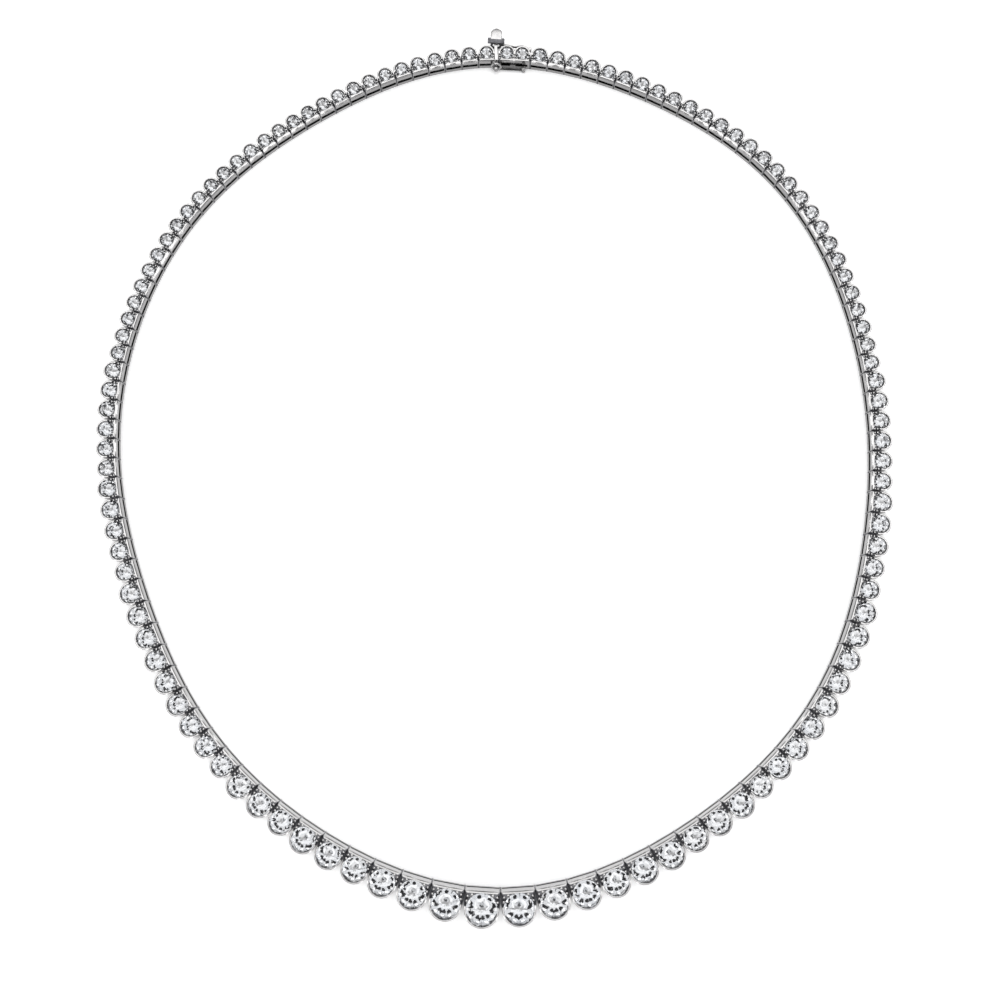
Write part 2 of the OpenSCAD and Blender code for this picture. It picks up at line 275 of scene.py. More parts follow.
@dataclass(frozen=True)
class Loop:
    """The lying line of links: its outline and the place of each member on it."""

    link_count: int = 116
    box_length: float = 5.7
    tongue_length: float = 3.5
    small_height: float = 2.4
    large_height: float = 3.8
    side_share: float = 0.015
    centre: tuple[float, float] = (0.68, 0.26)
    groups: tuple[SizeGroup, ...] = (
        SizeGroup(0, 5.6), SizeGroup(1, 5.35), SizeGroup(2, 5.05), SizeGroup(3, 4.8),
        SizeGroup(4, 4.6), SizeGroup(7, 4.33), SizeGroup(10, 4.0), SizeGroup(15, 3.92),
        SizeGroup(19, 3.58), SizeGroup(24, 3.34), SizeGroup(30, 3.06),
    )
    waves: tuple[LoopWave, ...] = (
        LoopWave(2, 4.9, -1), LoopWave(3, 1.4, 50), LoopWave(4, 0.5, 15),
        LoopWave(5, 0.35, -13), LoopWave(6, 0.5, -3), LoopWave(8, 0.35, -2),
    )

    def on_unit_loop(self, turn: float) -> tuple[float, float]:
        """A point of the inner edge for a mean radius of 1.

        Args:
            turn: Degrees clockwise from the clasp.

        Returns:
            The point in the plan.
        """
        reach = 1 + sum(
            w.rise / 100 * math.cos(math.radians(w.waves * (turn - w.crest))) for w in self.waves
        )
        return reach * math.sin(math.radians(turn)), reach * math.cos(math.radians(turn))

    def kind(self, number: int) -> MemberKind:
        """What stands at a place of the line.

        Args:
            number: The place, counted clockwise from the box.

        Returns:
            The kind of member.
        """
        if number == 0:
            return MemberKind.BOX
        return MemberKind.TONGUE if number > self.link_count else MemberKind.LINK

    def size_pitch(self, number: int) -> float:
        """Length of a link of that place's size group."""
        rank = abs(number - self.link_count // 2)
        return [group.pitch for group in self.groups if group.first <= rank][-1]

    def pitch(self, number: int) -> float:
        """Length of a member along the inner edge.

        Args:
            number: The place, counted clockwise from the box.

        Returns:
            The length, in millimetres.
        """
        if self.kind(number) is MemberKind.BOX:
            return self.box_length
        if self.kind(number) is MemberKind.TONGUE:
            return self.tongue_length
        side = np.sign(self.link_count // 2 - number)
        return self.size_pitch(number) * (1 + self.side_share * side)

    def members(self) -> list[Member]:
        """All members, clockwise from the clasp box to the tongue link.

        Returns:
            The members, in order.
        """
        degrees = list(range(361))
        points = [self.on_unit_loop(degree) for degree in degrees]
        runs = np.concatenate([[0], np.cumsum([math.dist(a, b) for a, b in zip(points, points[1:])])])
        numbers = range(self.link_count + 2)
        seam_runs = np.concatenate([[0], np.cumsum([self.pitch(n) for n in numbers])])
        radius = seam_runs[-1] / runs[-1]
        seams = []
        for run in seam_runs:
            x, y = self.on_unit_loop(float(np.interp(run / radius, runs, degrees)))
            seams.append((self.centre[0] + radius * x, self.centre[1] + radius * y))
        small, large = self.groups[-1].pitch, self.groups[0].pitch
        headings = [math.atan2(b[1] - a[1], b[0] - a[0]) for a, b in zip(seams, seams[1:])]
        made = []
        for n in numbers:
            size = self.size_pitch(n) if self.kind(n) is MemberKind.LINK else small
            rise = self.large_height - self.small_height
            height = self.small_height + rise * (size - small) / (large - small)
            before, after = headings[n - 1], headings[(n + 1) % len(headings)]
            turns = (before - headings[n], headings[n] - after)
            fan = tuple(math.tan(turn % math.tau / 2) for turn in turns)
            made.append(Member(n, self.kind(n), seams[n], seams[n + 1], size / small, height, fan))
        return made


@dataclass
class MeshBuilder:
    """Gathers the faces of many small solids into one mesh."""

    name: str
    vertices: list[Point] = field(default_factory=list)
    faces: list[list[int]] = field(default_factory=list)
    slots: list[int] = field(default_factory=list)
    smooth: list[bool] = field(default_factory=list)

    def add(
        self,
        points: list[Point],
        faces: list[list[int]],
        place: Matrix,
        slots: list[int] | None = None,
        smooth: bool = True,
    ) -> None:
        """Adds one solid.

        Args:
            points: Its corners in its own frame, in millimetres.
            faces: The corners of each face.
            place: Its own frame in the necklace's frame.
            slots: The material slot of each face, or none for the first slot.
            smooth: Whether its faces are shaded as one curved surface.
        """
        base = len(self.vertices)
        self.vertices.extend(tuple(place @ Vector(p)) for p in points)
        self.faces.extend([base + i for i in f] for f in faces)
        self.slots.extend(slots or [0] * len(faces))
        self.smooth.extend([smooth] * len(faces))

    def build(self, materials: list[bpy.types.Material], sharp_angle: float = 35.0) -> bpy.types.Object:
        """Makes the object.

        Args:
            materials: The materials of its slots.
            sharp_angle: Degrees between two faces from which their edge stays sharp.

        Returns:
            The object, in metres.
        """
        mesh = bpy.data.meshes.new(self.name)
        mesh.from_pydata([tuple(c * MM for c in v) for v in self.vertices], [], self.faces)
        for material in materials:
            mesh.materials.append(material)
        mesh.polygons.foreach_set("material_index", self.slots)
        mesh.polygons.foreach_set("use_smooth", self.smooth)
        shaped = bmesh.new()
        shaped.from_mesh(mesh)
        bmesh.ops.dissolve_degenerate(shaped, dist=1e-9, edges=shaped.edges)
        bmesh.ops.recalc_face_normals(shaped, faces=shaped.faces)
        shaped.to_mesh(mesh)
        shaped.free()
        mesh.set_sharp_from_angle(angle=math.radians(sharp_angle))
        mesh.validate()
        return link_object(self.name, mesh)


def turned(profile: Section, steps: int, closed: bool = True) -> Surface:
    """Turns a profile of radius and height round the z axis.

    Args:
        profile: Points of radius and z. An open profile starts and ends on the axis.
        steps: Sides of the turned solid.
        closed: Whether the profile is a closed loop.

    Returns:
        The points and faces.
    """
    points = [(*on_circle(r, math.tau * k / steps), z) for k in range(steps) for r, z in profile]
    count = len(profile)
    spans = range(count) if closed else range(count - 1)
    faces = []
    for k in range(steps):
        here, after = k * count, (k + 1) % steps * count
        for i in spans:
            j = (i + 1) % count
            if not closed and profile[i][0] == 0:
                faces.append([here + i, after + j, here + j])
            elif not closed and profile[j][0] == 0:
                faces.append([here + i, after + i, here + j])
            else:
                faces.append([here + i, after + i, after + j, here + j])
    return points, faces


def slab(
    outline: Outline, low: float, high: float, edge: float, rise: float = 0.0, steps: int = 1
) -> Surface:
    """An upright solid on a convex outline, with its upper and lower edges rounded.

    Args:
        outline: Corners in the plan, anticlockwise.
        low: Height of the lower face.
        high: Height of the upper face.
        edge: Width of the rounding in the plan.
        rise: Height of the rounding, or 0 for a little less than its width.
        steps: Steps of the rounding.

    Returns:
        The points and faces.
    """
    count = len(outline)
    middle = (sum(p[0] for p in outline) / count, sum(p[1] for p in outline) / count)

    def inset(point: tuple[float, float], by: float) -> tuple[float, float]:
        """Moves a corner towards the outline's middle.

        Args:
            point: The corner.
            by: How far it moves.

        Returns:
            The moved corner.
        """
        run = math.dist(point, middle)
        share = max(run - by, 0.0) / run
        return middle[0] + (point[0] - middle[0]) * share, middle[1] + (point[1] - middle[1]) * share

    turns = [math.pi / 2 * i / steps for i in range(steps + 1)]
    rise = rise or edge / 1.4
    rounding = [(rise * (1 - math.cos(t)), edge * (1 - math.sin(t))) for t in turns]
    levels = [(low + up, by) for up, by in rounding] + [(high - up, by) for up, by in rounding[::-1]]
    points = [(*inset(p, by), z) for z, by in levels for p in outline]
    last = len(levels) - 1
    faces = [list(range(count))[::-1], list(range(last * count, (last + 1) * count))]
    for level in range(last):
        for i in range(count):
            j = (i + 1) % count
            here, above = level * count, (level + 1) * count
            faces.append([here + i, here + j, above + j, above + i])
    return points, faces


def rounded_outline(width: float, depth: float, corner: float, steps: int = 3) -> Outline:
    """A rectangle with round corners about the origin, anticlockwise.

    Args:
        width: Its size along x.
        depth: Its size along y.
        corner: Radius of its corners.
        steps: Segments of each corner.

    Returns:
        The corners of the outline.
    """
    made = []
    for quarter, (sx, sy) in enumerate([(1, 1), (-1, 1), (-1, -1), (1, -1)]):
        for i in range(steps + 1):
            angle = math.pi / 2 * (quarter + i / steps)
            made.append((
                sx * (width / 2 - corner) + corner * math.cos(angle),
                sy * (depth / 2 - corner) + corner * math.sin(angle),
            ))
    return made


def round_end(reach: float, radius: float, steps: int = 12) -> Outline:
    """A bar along x that ends in a half circle about the origin, anticlockwise.

    Args:
        reach: Length of the bar behind the origin.
        radius: Radius of the end, and half the bar's width.
        steps: Segments of the half circle.

    Returns:
        The corners of the outline.
    """
    turns = [math.pi * (i / steps - 0.5) for i in range(steps + 1)]
    return [(-reach, -radius), *(on_circle(radius, t) for t in turns), (-reach, radius)]


def swept(path: Outline, section: Section) -> Surface:
    """Carries an upright section along a plan path and caps its ends.

    Args:
        path: Points of the path.
        section: Points of sideways offset and height, once round.

    Returns:
        The points and faces, the sides first and the two caps last.
    """
    line = [Vector(p) for p in path]
    points = []
    for i, here in enumerate(line):
        run = (line[min(i + 1, len(line) - 1)] - line[max(i - 1, 0)]).normalized()
        aside = Vector((-run.y, run.x))
        points += [(*(here + aside * offset), z) for offset, z in section]
    count = len(section)
    faces = []
    for i in range(len(line) - 1):
        for k in range(count):
            after = (k + 1) % count
            faces.append([i * count + k, (i + 1) * count + k, (i + 1) * count + after, i * count + after])
    faces += [list(range(count)), list(range((len(line) - 1) * count, len(line) * count))[::-1]]
    return points, faces


def flowing(path: Outline, steps: int = 6) -> Outline:
    """A smooth line through the points of a path.

    Args:
        path: The points that it passes.
        steps: Segments between two of them.

    Returns:
        The points of the line.
    """
    line = [Vector(path[0]), *(Vector(p) for p in path), Vector(path[-1])]
    made = []
    for a, b, c, d in zip(line, line[1:], line[2:], line[3:]):
        for i in range(steps):
            t = i / steps
            at = b * 2 + (c - a) * t + (a * 2 - b * 5 + c * 4 - d) * t * t + (b * 3 - a - c * 3 + d) * t**3
            made.append(tuple(at / 2))
    return [*made, tuple(path[-1])]


@dataclass(frozen=True)
class Opening:
    """A pierced window in a flat side of a collet."""

    face: Face
    start: float
    end: float
    low: float
    high: float


@dataclass(frozen=True)
class Collet:
    """One hollow collet: walls, deck with a stone seat, bar, sunk corners and a rubbed-over bezel.

    The body is one closed surface. It is made of upright sections at angles round the stone's
    middle, and each section runs up the outer wall, over the top, down the seat, and down the
    inner wall.
    """

    half_width: float
    radius: float
    stone_radius: float
    stone_y: float
    height: float
    openings: tuple[Opening, ...]
    fan: tuple[float, float] = (0.0, 0.0)
    seams: tuple[bool, bool] = (True, True)
    bar_width: float = 0.34
    wall: float = 0.3
    deck: float = 0.75
    corner_sink: float = 0.22
    girdle_sink: float = 0.3
    girdle_depth: float = 0.09
    seat_room: float = 0.03
    lip: float = 0.08
    pavilion_slope: float = 0.86
    corner_share: float = 0.82
    edge: float = 0.04
    rim_edge: float = 0.05
    rim_drop: float = 0.08
    arris: float = 0.1
    seam_cover: float = 0.05
    seam_reach: float = 0.14
    seam_end: float = 0.95
    seam_fade: float = 0.3
    cut_slope: float = 0.45
    cut_limit: float = 0.3
    front_corner: float = 0.05
    inner_corner: float = 0.02
    arris_profile: tuple[tuple[float, float], ...] = ((0.0, 1.0), (0.9, 0.1), (0.97, 0.02), (1.0, 0.0))
    valley_profile: tuple[tuple[float, float], ...] = (
        (0.2, 0.2), (0.35, 0.7), (0.5, 1.0), (0.7, 0.6), (0.85, 0.3),
    )
    rows_below_top: int = 5
    valley_rows: tuple[int, int] = (4, 7)
    back_rows: tuple[int, int] = (7, 9)
    hollow_row: int = 11
    face_room: float = 0.02
    groove_drop: float = 0.36
    groove: float = 0.04
    arc_steps: int = 24
    side_steps: int = 3
    front_steps: int = 6

    def reach(self, angle: float, inset: float) -> float:
        """Distance from the stone's middle to the outline, moved inwards.

        Args:
            angle: Direction in the plan, in radians.
            inset: How far the outline is moved inwards.

        Returns:
            The distance.
        """
        dx, dy = math.cos(angle), math.sin(angle)
        if dy >= 0:
            return self.radius - inset
        reaches = [(self.stone_y - inset) / -dy]
        if abs(dx) > 1e-9:
            reaches.append((self.half_width - inset) / abs(dx))
        corner = self.front_corner if inset == 0 else self.inner_corner
        straight = min(reaches)
        along = (self.half_width - inset - corner, self.stone_y - inset - corner)
        x, y = abs(dx) * straight, -dy * straight
        if x > along[0] and y > along[1]:
            b = abs(dx) * along[0] - dy * along[1]
            c = along[0] ** 2 + along[1] ** 2 - corner**2
            return b + math.sqrt(max(b * b - c, 0.0))
        return straight

    def angle_to(self, x: float, y: float) -> float:
        """Direction from the stone's middle to a point of the link's frame, from -pi/2 anticlockwise."""
        angle = math.atan2(y - self.stone_y, x)
        return angle if angle >= -math.pi / 2 else angle + math.tau

    def zone(self, angle: float) -> Zone:
        """What the wall carries in that direction.

        Args:
            angle: Direction from the stone's middle, in radians.

        Returns:
            The zone.
        """
        y = self.stone_y + self.reach(angle, 0) * math.sin(angle)
        if y < self.bar_width:
            return Zone.BAR
        return Zone.CORNER if y < self.stone_y * self.corner_share else Zone.BEZEL

    def stations(self) -> list[tuple[float, Zone]]:
        """The directions of the sections and their zones, once round from the bar's middle.

        Returns:
            Angle and zone of each section.
        """
        half = self.half_width
        corner = self.front_corner
        stops = [-math.pi / 2 + 1e-6]
        stops += [self.angle_to(half * (i + 1) / self.front_steps, 0) for i in range(self.front_steps - 1)]
        round_corner = ((half - corner, 0), (half - corner * 0.3, corner * 0.3), (half, corner))
        stops += [self.angle_to(x, y) for x, y in round_corner]
        bar_end = self.angle_to(half, self.bar_width)
        bezel_start = self.angle_to(half, self.stone_y * self.corner_share)
        stops += [bar_end + (bezel_start - bar_end) * i / self.side_steps for i in range(1, self.side_steps)]
        steps = [bar_end, bezel_start]
        for opening in self.openings:
            for at in (opening.start, opening.end):
                angle = self.angle_to(at, 0) if opening.face is Face.FRONT else self.angle_to(-half, at)
                stops.append(angle)
        right = [s for s in stops if s < math.pi / 2]
        left = [math.pi - s if s < math.pi / 2 else s for s in stops]
        arc = [math.pi * i / self.arc_steps for i in range(self.arc_steps + 1)]
        start, end = -math.pi / 2, math.pi * 1.5 - 1e-4
        plain = sorted({round(a, 5) for a in right + left + arc if start <= a < end})
        doubled = steps + [math.pi - s for s in steps]
        apart = 2e-3
        made = [(a, self.zone(a)) for a in plain if all(abs(a - d) > apart for d in doubled)]
        for a in doubled:
            made += [(a, self.zone(a - apart)), (a + 1e-7, self.zone(a + apart))]
        return sorted(made, key=lambda item: item[0])

    def cover(self, angle: float) -> float:
        """How far the lower wall stands out towards the next link, to close the seam.

        Args:
            angle: The direction from the stone's middle.

        Returns:
            The distance beyond the outline.
        """
        along, rise = abs(math.cos(angle)), math.sin(angle)
        outer = self.reach(angle, 0)
        if not self.seams[math.cos(angle) > 0] or (rise < 0 and outer * along < self.half_width - 0.01):
            return 0.0
        fan = self.fan[1] if math.cos(angle) > 0 else self.fan[0]
        meeting = (self.half_width + self.seam_cover + fan * self.stone_y) / (along - fan * rise)
        y = (self.stone_y + outer * rise) / self.stone_y
        share = min(max((self.seam_end - y) / self.seam_fade, 0.0), 1.0)
        if meeting <= outer:
            return 0.0
        return min(meeting - outer, self.seam_reach + self.seam_cover) * share

    def rounding(self, outer: float, top: float, width: float, side: int) -> Section:
        """A quarter round between an upright face and the top.

        Args:
            outer: Radius of the upright face.
            top: Height of the top.
            width: Size of the round.
            side: 1 where the upright face looks outwards, -1 where it looks inwards.

        Returns:
            Four points, from the upright face to the top.
        """
        angles = (0, 30, 60, 90)
        return [
            (
                outer - side * width * (1 - math.cos(math.radians(a))),
                top - width * (1 - math.sin(math.radians(a))),
            )
            for a in angles
        ]

    def section(self, angle: float, zone: Zone, levels: list[float]) -> Section:
        """One upright section, from the lower outer edge round to the lower inner edge.

        Args:
            angle: Its direction from the stone's middle.
            zone: What the wall carries there.
            levels: Heights at which windows start or end.

        Returns:
            Points of distance from the stone's middle and height.
        """
        outer, inner = self.reach(angle, 0), self.reach(angle, self.wall)
        floor = self.height - self.corner_sink
        seat = self.stone_radius + self.seat_room
        girdle = self.height - self.girdle_sink
        deck_low = self.height - self.deck
        seat_low = seat - (girdle - deck_low) / self.pavilion_slope
        lip_low = girdle + self.girdle_depth
        depth = self.groove if zone is Zone.BAR else 0.0
        line = self.height - self.groove_drop
        low = outer + self.cover(angle)
        up = [(low - self.edge, 0.0), (low, self.edge), *((low, z) for z in levels)]
        up += [(low, line - self.groove), (outer - depth, line), (outer, line + self.groove)]
        if zone is Zone.BAR:
            back = max((self.stone_y - self.bar_width) / -math.sin(angle), seat + 0.02)
            top = [(outer - self.arris * x, self.height - self.arris * z) for x, z in self.arris_profile]
            top += self.rounding(back, self.height, self.edge, -1)[::-1]
            top += [(back, floor), (seat, floor - 0.01)]
        elif zone is Zone.CORNER:
            run = outer - seat
            valley = min(run * self.cut_slope, self.cut_limit)
            top = self.rounding(outer, floor, self.edge, 1)
            for share, sunk in self.valley_profile:
                top.append((outer - self.edge - (run - self.edge) * share, floor - valley * sunk))
            top += [(seat, floor - 0.01)]
        else:
            rim = seat - self.lip
            top = [
                (outer, self.height - self.rim_drop),
                (outer - self.rim_edge * 0.5, self.height - self.rim_drop * 0.45),
                (outer - self.rim_edge, self.height - 0.02),
                (outer - self.rim_edge - SOFT, self.height),
            ]
            top += self.rounding(rim, self.height, self.edge, -1)[::-1]
            middle = (self.height - self.edge + lip_low) / 2
            top += [(rim + 0.02, middle), (seat, lip_low)]
        down = [(seat, girdle), (seat_low, deck_low), (inner, deck_low - 0.001)]
        down += [(inner, z) for z in reversed(levels)]
        down += [(inner, self.edge), (inner + self.edge, 0.0)]
        return up + top + down

    def finishes(self, angle: float, zone: Zone, rows: int, levels: int) -> list[int]:
        """The finish of each face of a section: polished, filed and darkened with painted shade, or
        near-black painted shade.

        Args:
            angle: The section's direction from the stone's middle.
            zone: What the wall carries there.
            rows: Points of the section.
            levels: Number of window heights.

        Returns:
            A material slot for the face above each point.
        """
        x = self.reach(angle, 0) * abs(math.cos(angle))
        at_seam = x > self.half_width - self.front_corner and self.seams[math.cos(angle) > 0]
        finish = Finish.RAW if at_seam and zone is not Zone.BEZEL else Finish.POLISHED
        made = [finish.value] * rows
        top = self.rows_below_top + levels
        # Seam faces, the corners' valleys and the slope behind the bar get filed metal darkened with painted
        # shade; the faces from the hollow row on get near-black painted shade.
        raw_with_shade_rows = {Zone.CORNER: self.valley_rows, Zone.BAR: self.back_rows}.get(zone, (0, 0))
        for row in range(*raw_with_shade_rows):
            made[top + row] = Finish.RAW.value
        made[top + self.hollow_row :] = [Finish.HOLLOW.value] * (rows - top - self.hollow_row)
        return made

    def is_window(self, x: float, y: float, z: float) -> bool:
        """Whether a point of the outer wall lies in a window.

        Args:
            x: Its x in the collet's frame.
            y: Its y.
            z: Its height.

        Returns:
            Whether it does.
        """
        for opening in self.openings:
            front = opening.face is Face.FRONT
            along = x if front else y
            on_face = y < self.face_room if front else x < -self.half_width + self.face_room
            if on_face and opening.start < along < opening.end and opening.low < z < opening.high:
                return True
        return False

    def surface(self) -> tuple[list[Point], list[list[int]], list[int]]:
        """The collet's closed surface.

        Returns:
            The points, in the frame of the stone's middle line, the faces, and the slot of each.
        """
        levels = sorted({z for o in self.openings for z in (o.low, o.high)})
        stations = self.stations()
        points: list[Point] = []
        for angle, zone in stations:
            for distance, z in self.section(angle, zone, levels):
                points.append((distance * math.cos(angle), self.stone_y + distance * math.sin(angle), z))
        rows = len(points) // len(stations)
        count = len(stations)
        first_outer, first_inner = 2, rows - 2 - len(levels)
        open_cells = set()
        for k in range(count):
            after = (k + 1) % count
            for level in range(len(levels) - 1):
                corners = [points[s * rows + first_outer + level + i] for s in (k, after) for i in (0, 1)]
                middle = [sum(p[axis] for p in corners) / 4 for axis in range(3)]
                if self.is_window(*middle):
                    open_cells.add((k, level))
        faces, slots = [], []
        for k in range(count):
            after = (k + 1) % count
            finish = self.finishes(*stations[k], rows, len(levels))
            for row in range(rows):
                below = (row + 1) % rows
                inner_level = first_inner + len(levels) - 2 - row
                if (k, row - first_outer) in open_cells or (k, inner_level) in open_cells:
                    continue
                faces.append([k * rows + row, after * rows + row, after * rows + below, k * rows + below])
                slots.append(finish[row])
        # The reveals round the windows get near-black painted shade.
        cut = self.reveals(open_cells, count, rows, first_outer, first_inner, len(levels))
        return points, faces + cut, slots + [Finish.HOLLOW.value] * len(cut)

    @staticmethod
    def reveals(
        cells: set[tuple[int, int]],
        count: int,
        rows: int,
        first_outer: int,
        first_inner: int,
        levels: int,
    ) -> list[list[int]]:
        """The faces through the wall round each window.

        Args:
            cells: Station and level of each open cell.
            count: Number of stations.
            rows: Points of a section.
            first_outer: Row of the lowest level on the outer face.
            first_inner: Row of the highest level on the inner face.
            levels: Number of levels.

        Returns:
            The faces.
        """

        def outer(station: int, level: int) -> int:
            """Number of a point on the outer face."""
            return station % count * rows + first_outer + level

        def inner(station: int, level: int) -> int:
            """Number of a point on the inner face."""
            return station % count * rows + first_inner + levels - 1 - level

        faces = []
        for k, level in cells:
            after, above = k + 1, level + 1
            if (k, level - 1) not in cells:
                faces.append([outer(k, level), outer(after, level), inner(after, level), inner(k, level)])
            if (k, above) not in cells:
                faces.append([inner(k, above), inner(after, above), outer(after, above), outer(k, above)])
            if ((k - 1) % count, level) not in cells:
                faces.append([outer(k, level), inner(k, level), inner(k, above), outer(k, above)])
            if (after % count, level) not in cells:
                far = [outer(after, above), inner(after, above), inner(after, level), outer(after, level)]
                faces.append(far)
        return faces


@dataclass(frozen=True)
class Brilliant:
    """Round brilliant cut: 57 facets, a round girdle with its scallops, and a small culet."""

    table: float = 0.56
    crown_angle: float = 34.5
    pavilion: float = 0.86
    girdle: float = 0.03
    lower_half: float = 0.24
    culet: float = 0.012
    sides: int = 48

    def planes(self) -> list[tuple[Vector, Vector]]:
        """A point and the outward normal of each facet, for a girdle radius of 1.

        Returns:
            A point and a normal for each facet, the table first.
        """

        def polar(radius: float, turn: float, z: float) -> Vector:
            """The point at a turn, in degrees, round the stone's axis."""
            return Vector((*on_circle(radius, math.radians(turn)), z))

        def through(a: Vector, b: Vector, c: Vector) -> tuple[Vector, Vector]:
            """The facet through three points, with its normal outwards."""
            normal = (b - a).cross(c - a).normalized()
            return (a, normal) if normal.dot(a - Vector((0, 0, -0.2))) > 0 else (a, -normal)

        half = math.cos(math.radians(22.5))
        slope = math.tan(math.radians(self.crown_angle))
        top = self.girdle + (1 - self.table) * slope
        star = (1 + self.table * half) / 2
        star_z = top - (star * half - self.table) * slope
        low_z = -self.pavilion * (1 - self.lower_half * half)
        made = [(Vector((0, 0, top)), Vector((0, 0, 1)))]
        made.append((Vector((0, 0, -self.pavilion + self.culet)), Vector((0, 0, -1))))
        for i in range(8):
            at, main = 45 * i, 45 * i + 22.5
            star_point = polar(star, at, star_z)
            low_point = polar(self.lower_half, at, low_z)
            edge = polar(self.table * half, at, top)
            across = polar(1, at + 90, 0)
            made.append(through(edge, star_point, edge + across))
            rim, foot, aside = polar(1, main, self.girdle), polar(1, main, 0), polar(1, main + 90, 0)
            made.append(through(rim, polar(self.table, main, top), rim + aside))
            made.append(through(foot, Vector((0, 0, -self.pavilion)), foot + aside))
            for side in (-22.5, 22.5):
                made.append(through(star_point, polar(1, at, self.girdle), polar(1, at + side, self.girdle)))
                made.append(through(low_point, polar(1, at, 0), polar(1, at + side, 0)))
        return made

    def cut(self) -> Surface:
        """Cuts the stone out of a round blank, facet by facet.

        Returns:
            The points and faces for a girdle radius of 1.
        """
        stone = bmesh.new()
        bmesh.ops.create_cone(
            stone, cap_ends=True, segments=self.sides, radius1=1, radius2=1, depth=3,
        )
        for point, normal in self.planes():
            everything = stone.verts[:] + stone.edges[:] + stone.faces[:]
            result = bmesh.ops.bisect_plane(
                stone, geom=everything, dist=1e-6, plane_co=point, plane_no=normal, clear_outer=True,
            )
            rim = [part for part in result["geom_cut"] if isinstance(part, bmesh.types.BMEdge)]
            if len(rim) > 2:
                bmesh.ops.edgeloop_fill(stone, edges=rim)
        bmesh.ops.remove_doubles(stone, verts=stone.verts, dist=1e-5)
        bmesh.ops.recalc_face_normals(stone, faces=stone.faces)
        stone.verts.index_update()
        points = [tuple(v.co) for v in stone.verts]
        faces = [[v.index for v in f.verts] for f in stone.faces]
        stone.free()
        return points, faces


@dataclass(frozen=True)
class PolishedPlatinum:
    """Platinum, polished on a wheel: a bright grey-white mirror with faint hairlines from wear."""

    name: str = "polished_platinum"
    colour: str = "#D2D1D0"
    worn_colour: str = "#BDBCBC"
    roughness: float = 0.1
    worn_roughness: float = 0.24
    blotch_mm: float = 1.6
    hairline_mm: float = 0.3
    hairline_depth_mm: float = 0.012
    hairline_stretch: float = 0.12
    hairline_turn: float = 0.7

    def material(self) -> bpy.types.Material:
        """Builds the material.

        Returns:
            The material.
        """
        material, tree = new_material(self.name)
        place = add_node(tree, "ShaderNodeTexCoord")
        blotch = add_node(
            tree, "ShaderNodeTexNoise", {"Scale": 1 / (self.blotch_mm * MM), "Detail": 3.0},
            {"Vector": place.outputs["Object"]},
        )
        stretched = add_node(
            tree, "ShaderNodeMapping",
            {"Scale": (1.0, self.hairline_stretch, 1.0), "Rotation": (0.0, 0.0, self.hairline_turn)},
            {"Vector": place.outputs["Object"]},
        )
        hairline = add_node(
            tree, "ShaderNodeTexNoise", {"Scale": 1 / (self.hairline_mm * MM), "Detail": 2.0},
            {"Vector": stretched.outputs["Vector"]},
        )
        colour = add_node(
            tree, "ShaderNodeMix", {"data_type": "RGBA", 6: linear(self.colour), 7: linear(self.worn_colour)},
            {"Factor": blotch.outputs["Fac"]},
        )
        roughness = add_node(
            tree, "ShaderNodeMapRange",
            {"From Min": 0.35, "From Max": 0.7, "To Min": self.roughness, "To Max": self.worn_roughness},
            {"Value": blotch.outputs["Fac"]},
        )
        bump = add_node(
            tree, "ShaderNodeBump", {"Strength": 0.5, "Distance": self.hairline_depth_mm * MM},
            {"Height": hairline.outputs["Fac"]},
        )
        shader = add_node(
            tree, "ShaderNodeBsdfPrincipled", {"Metallic": 1.0},
            {"Base Color": colour.outputs[2], "Roughness": roughness.outputs["Result"],
             "Normal": bump.outputs["Normal"]},
        )
        add_node(tree, "ShaderNodeOutputMaterial", {}, {"Surface": shader.outputs["BSDF"]})
        return material


@dataclass(frozen=True)
class FiledPlatinumWithPaintedShade:
    """Platinum as file and graver left it in seams and hollows: duller, and darkened with painted shade,
    mottled at random.
    """

    name: str = "filed_platinum_with_painted_shade"
    # Both colours are painted shade, darker than the metal is, and mottled at random.
    colour: str = "#929296"
    dark_colour: str = "#38383B"
    roughness: float = 0.38
    grime_and_shade_mm: float = 0.5
    file_mm: float = 0.12
    file_depth_mm: float = 0.008

    def material(self) -> bpy.types.Material:
        """Builds the material.

        Returns:
            The material.
        """
        material, tree = new_material(self.name)
        place = add_node(tree, "ShaderNodeTexCoord")
        grime_and_shade_mottle = add_node(
            tree, "ShaderNodeTexNoise", {"Scale": 1 / (self.grime_and_shade_mm * MM), "Detail": 3.0},
            {"Vector": place.outputs["Object"]},
        )
        cuts = add_node(
            tree, "ShaderNodeTexNoise", {"Scale": 1 / (self.file_mm * MM), "Detail": 1.0},
            {"Vector": place.outputs["Object"]},
        )
        colour = add_node(
            tree, "ShaderNodeMix", {"data_type": "RGBA", 6: linear(self.colour), 7: linear(self.dark_colour)},
            {"Factor": grime_and_shade_mottle.outputs["Fac"]},
        )
        bump = add_node(
            tree, "ShaderNodeBump", {"Strength": 0.6, "Distance": self.file_depth_mm * MM},
            {"Height": cuts.outputs["Fac"]},
        )
        shader = add_node(
            tree, "ShaderNodeBsdfPrincipled", {"Metallic": 1.0, "Roughness": self.roughness},
            {"Base Color": colour.outputs[2], "Normal": bump.outputs["Normal"]},
        )
        add_node(tree, "ShaderNodeOutputMaterial", {}, {"Surface": shader.outputs["BSDF"]})
        return material


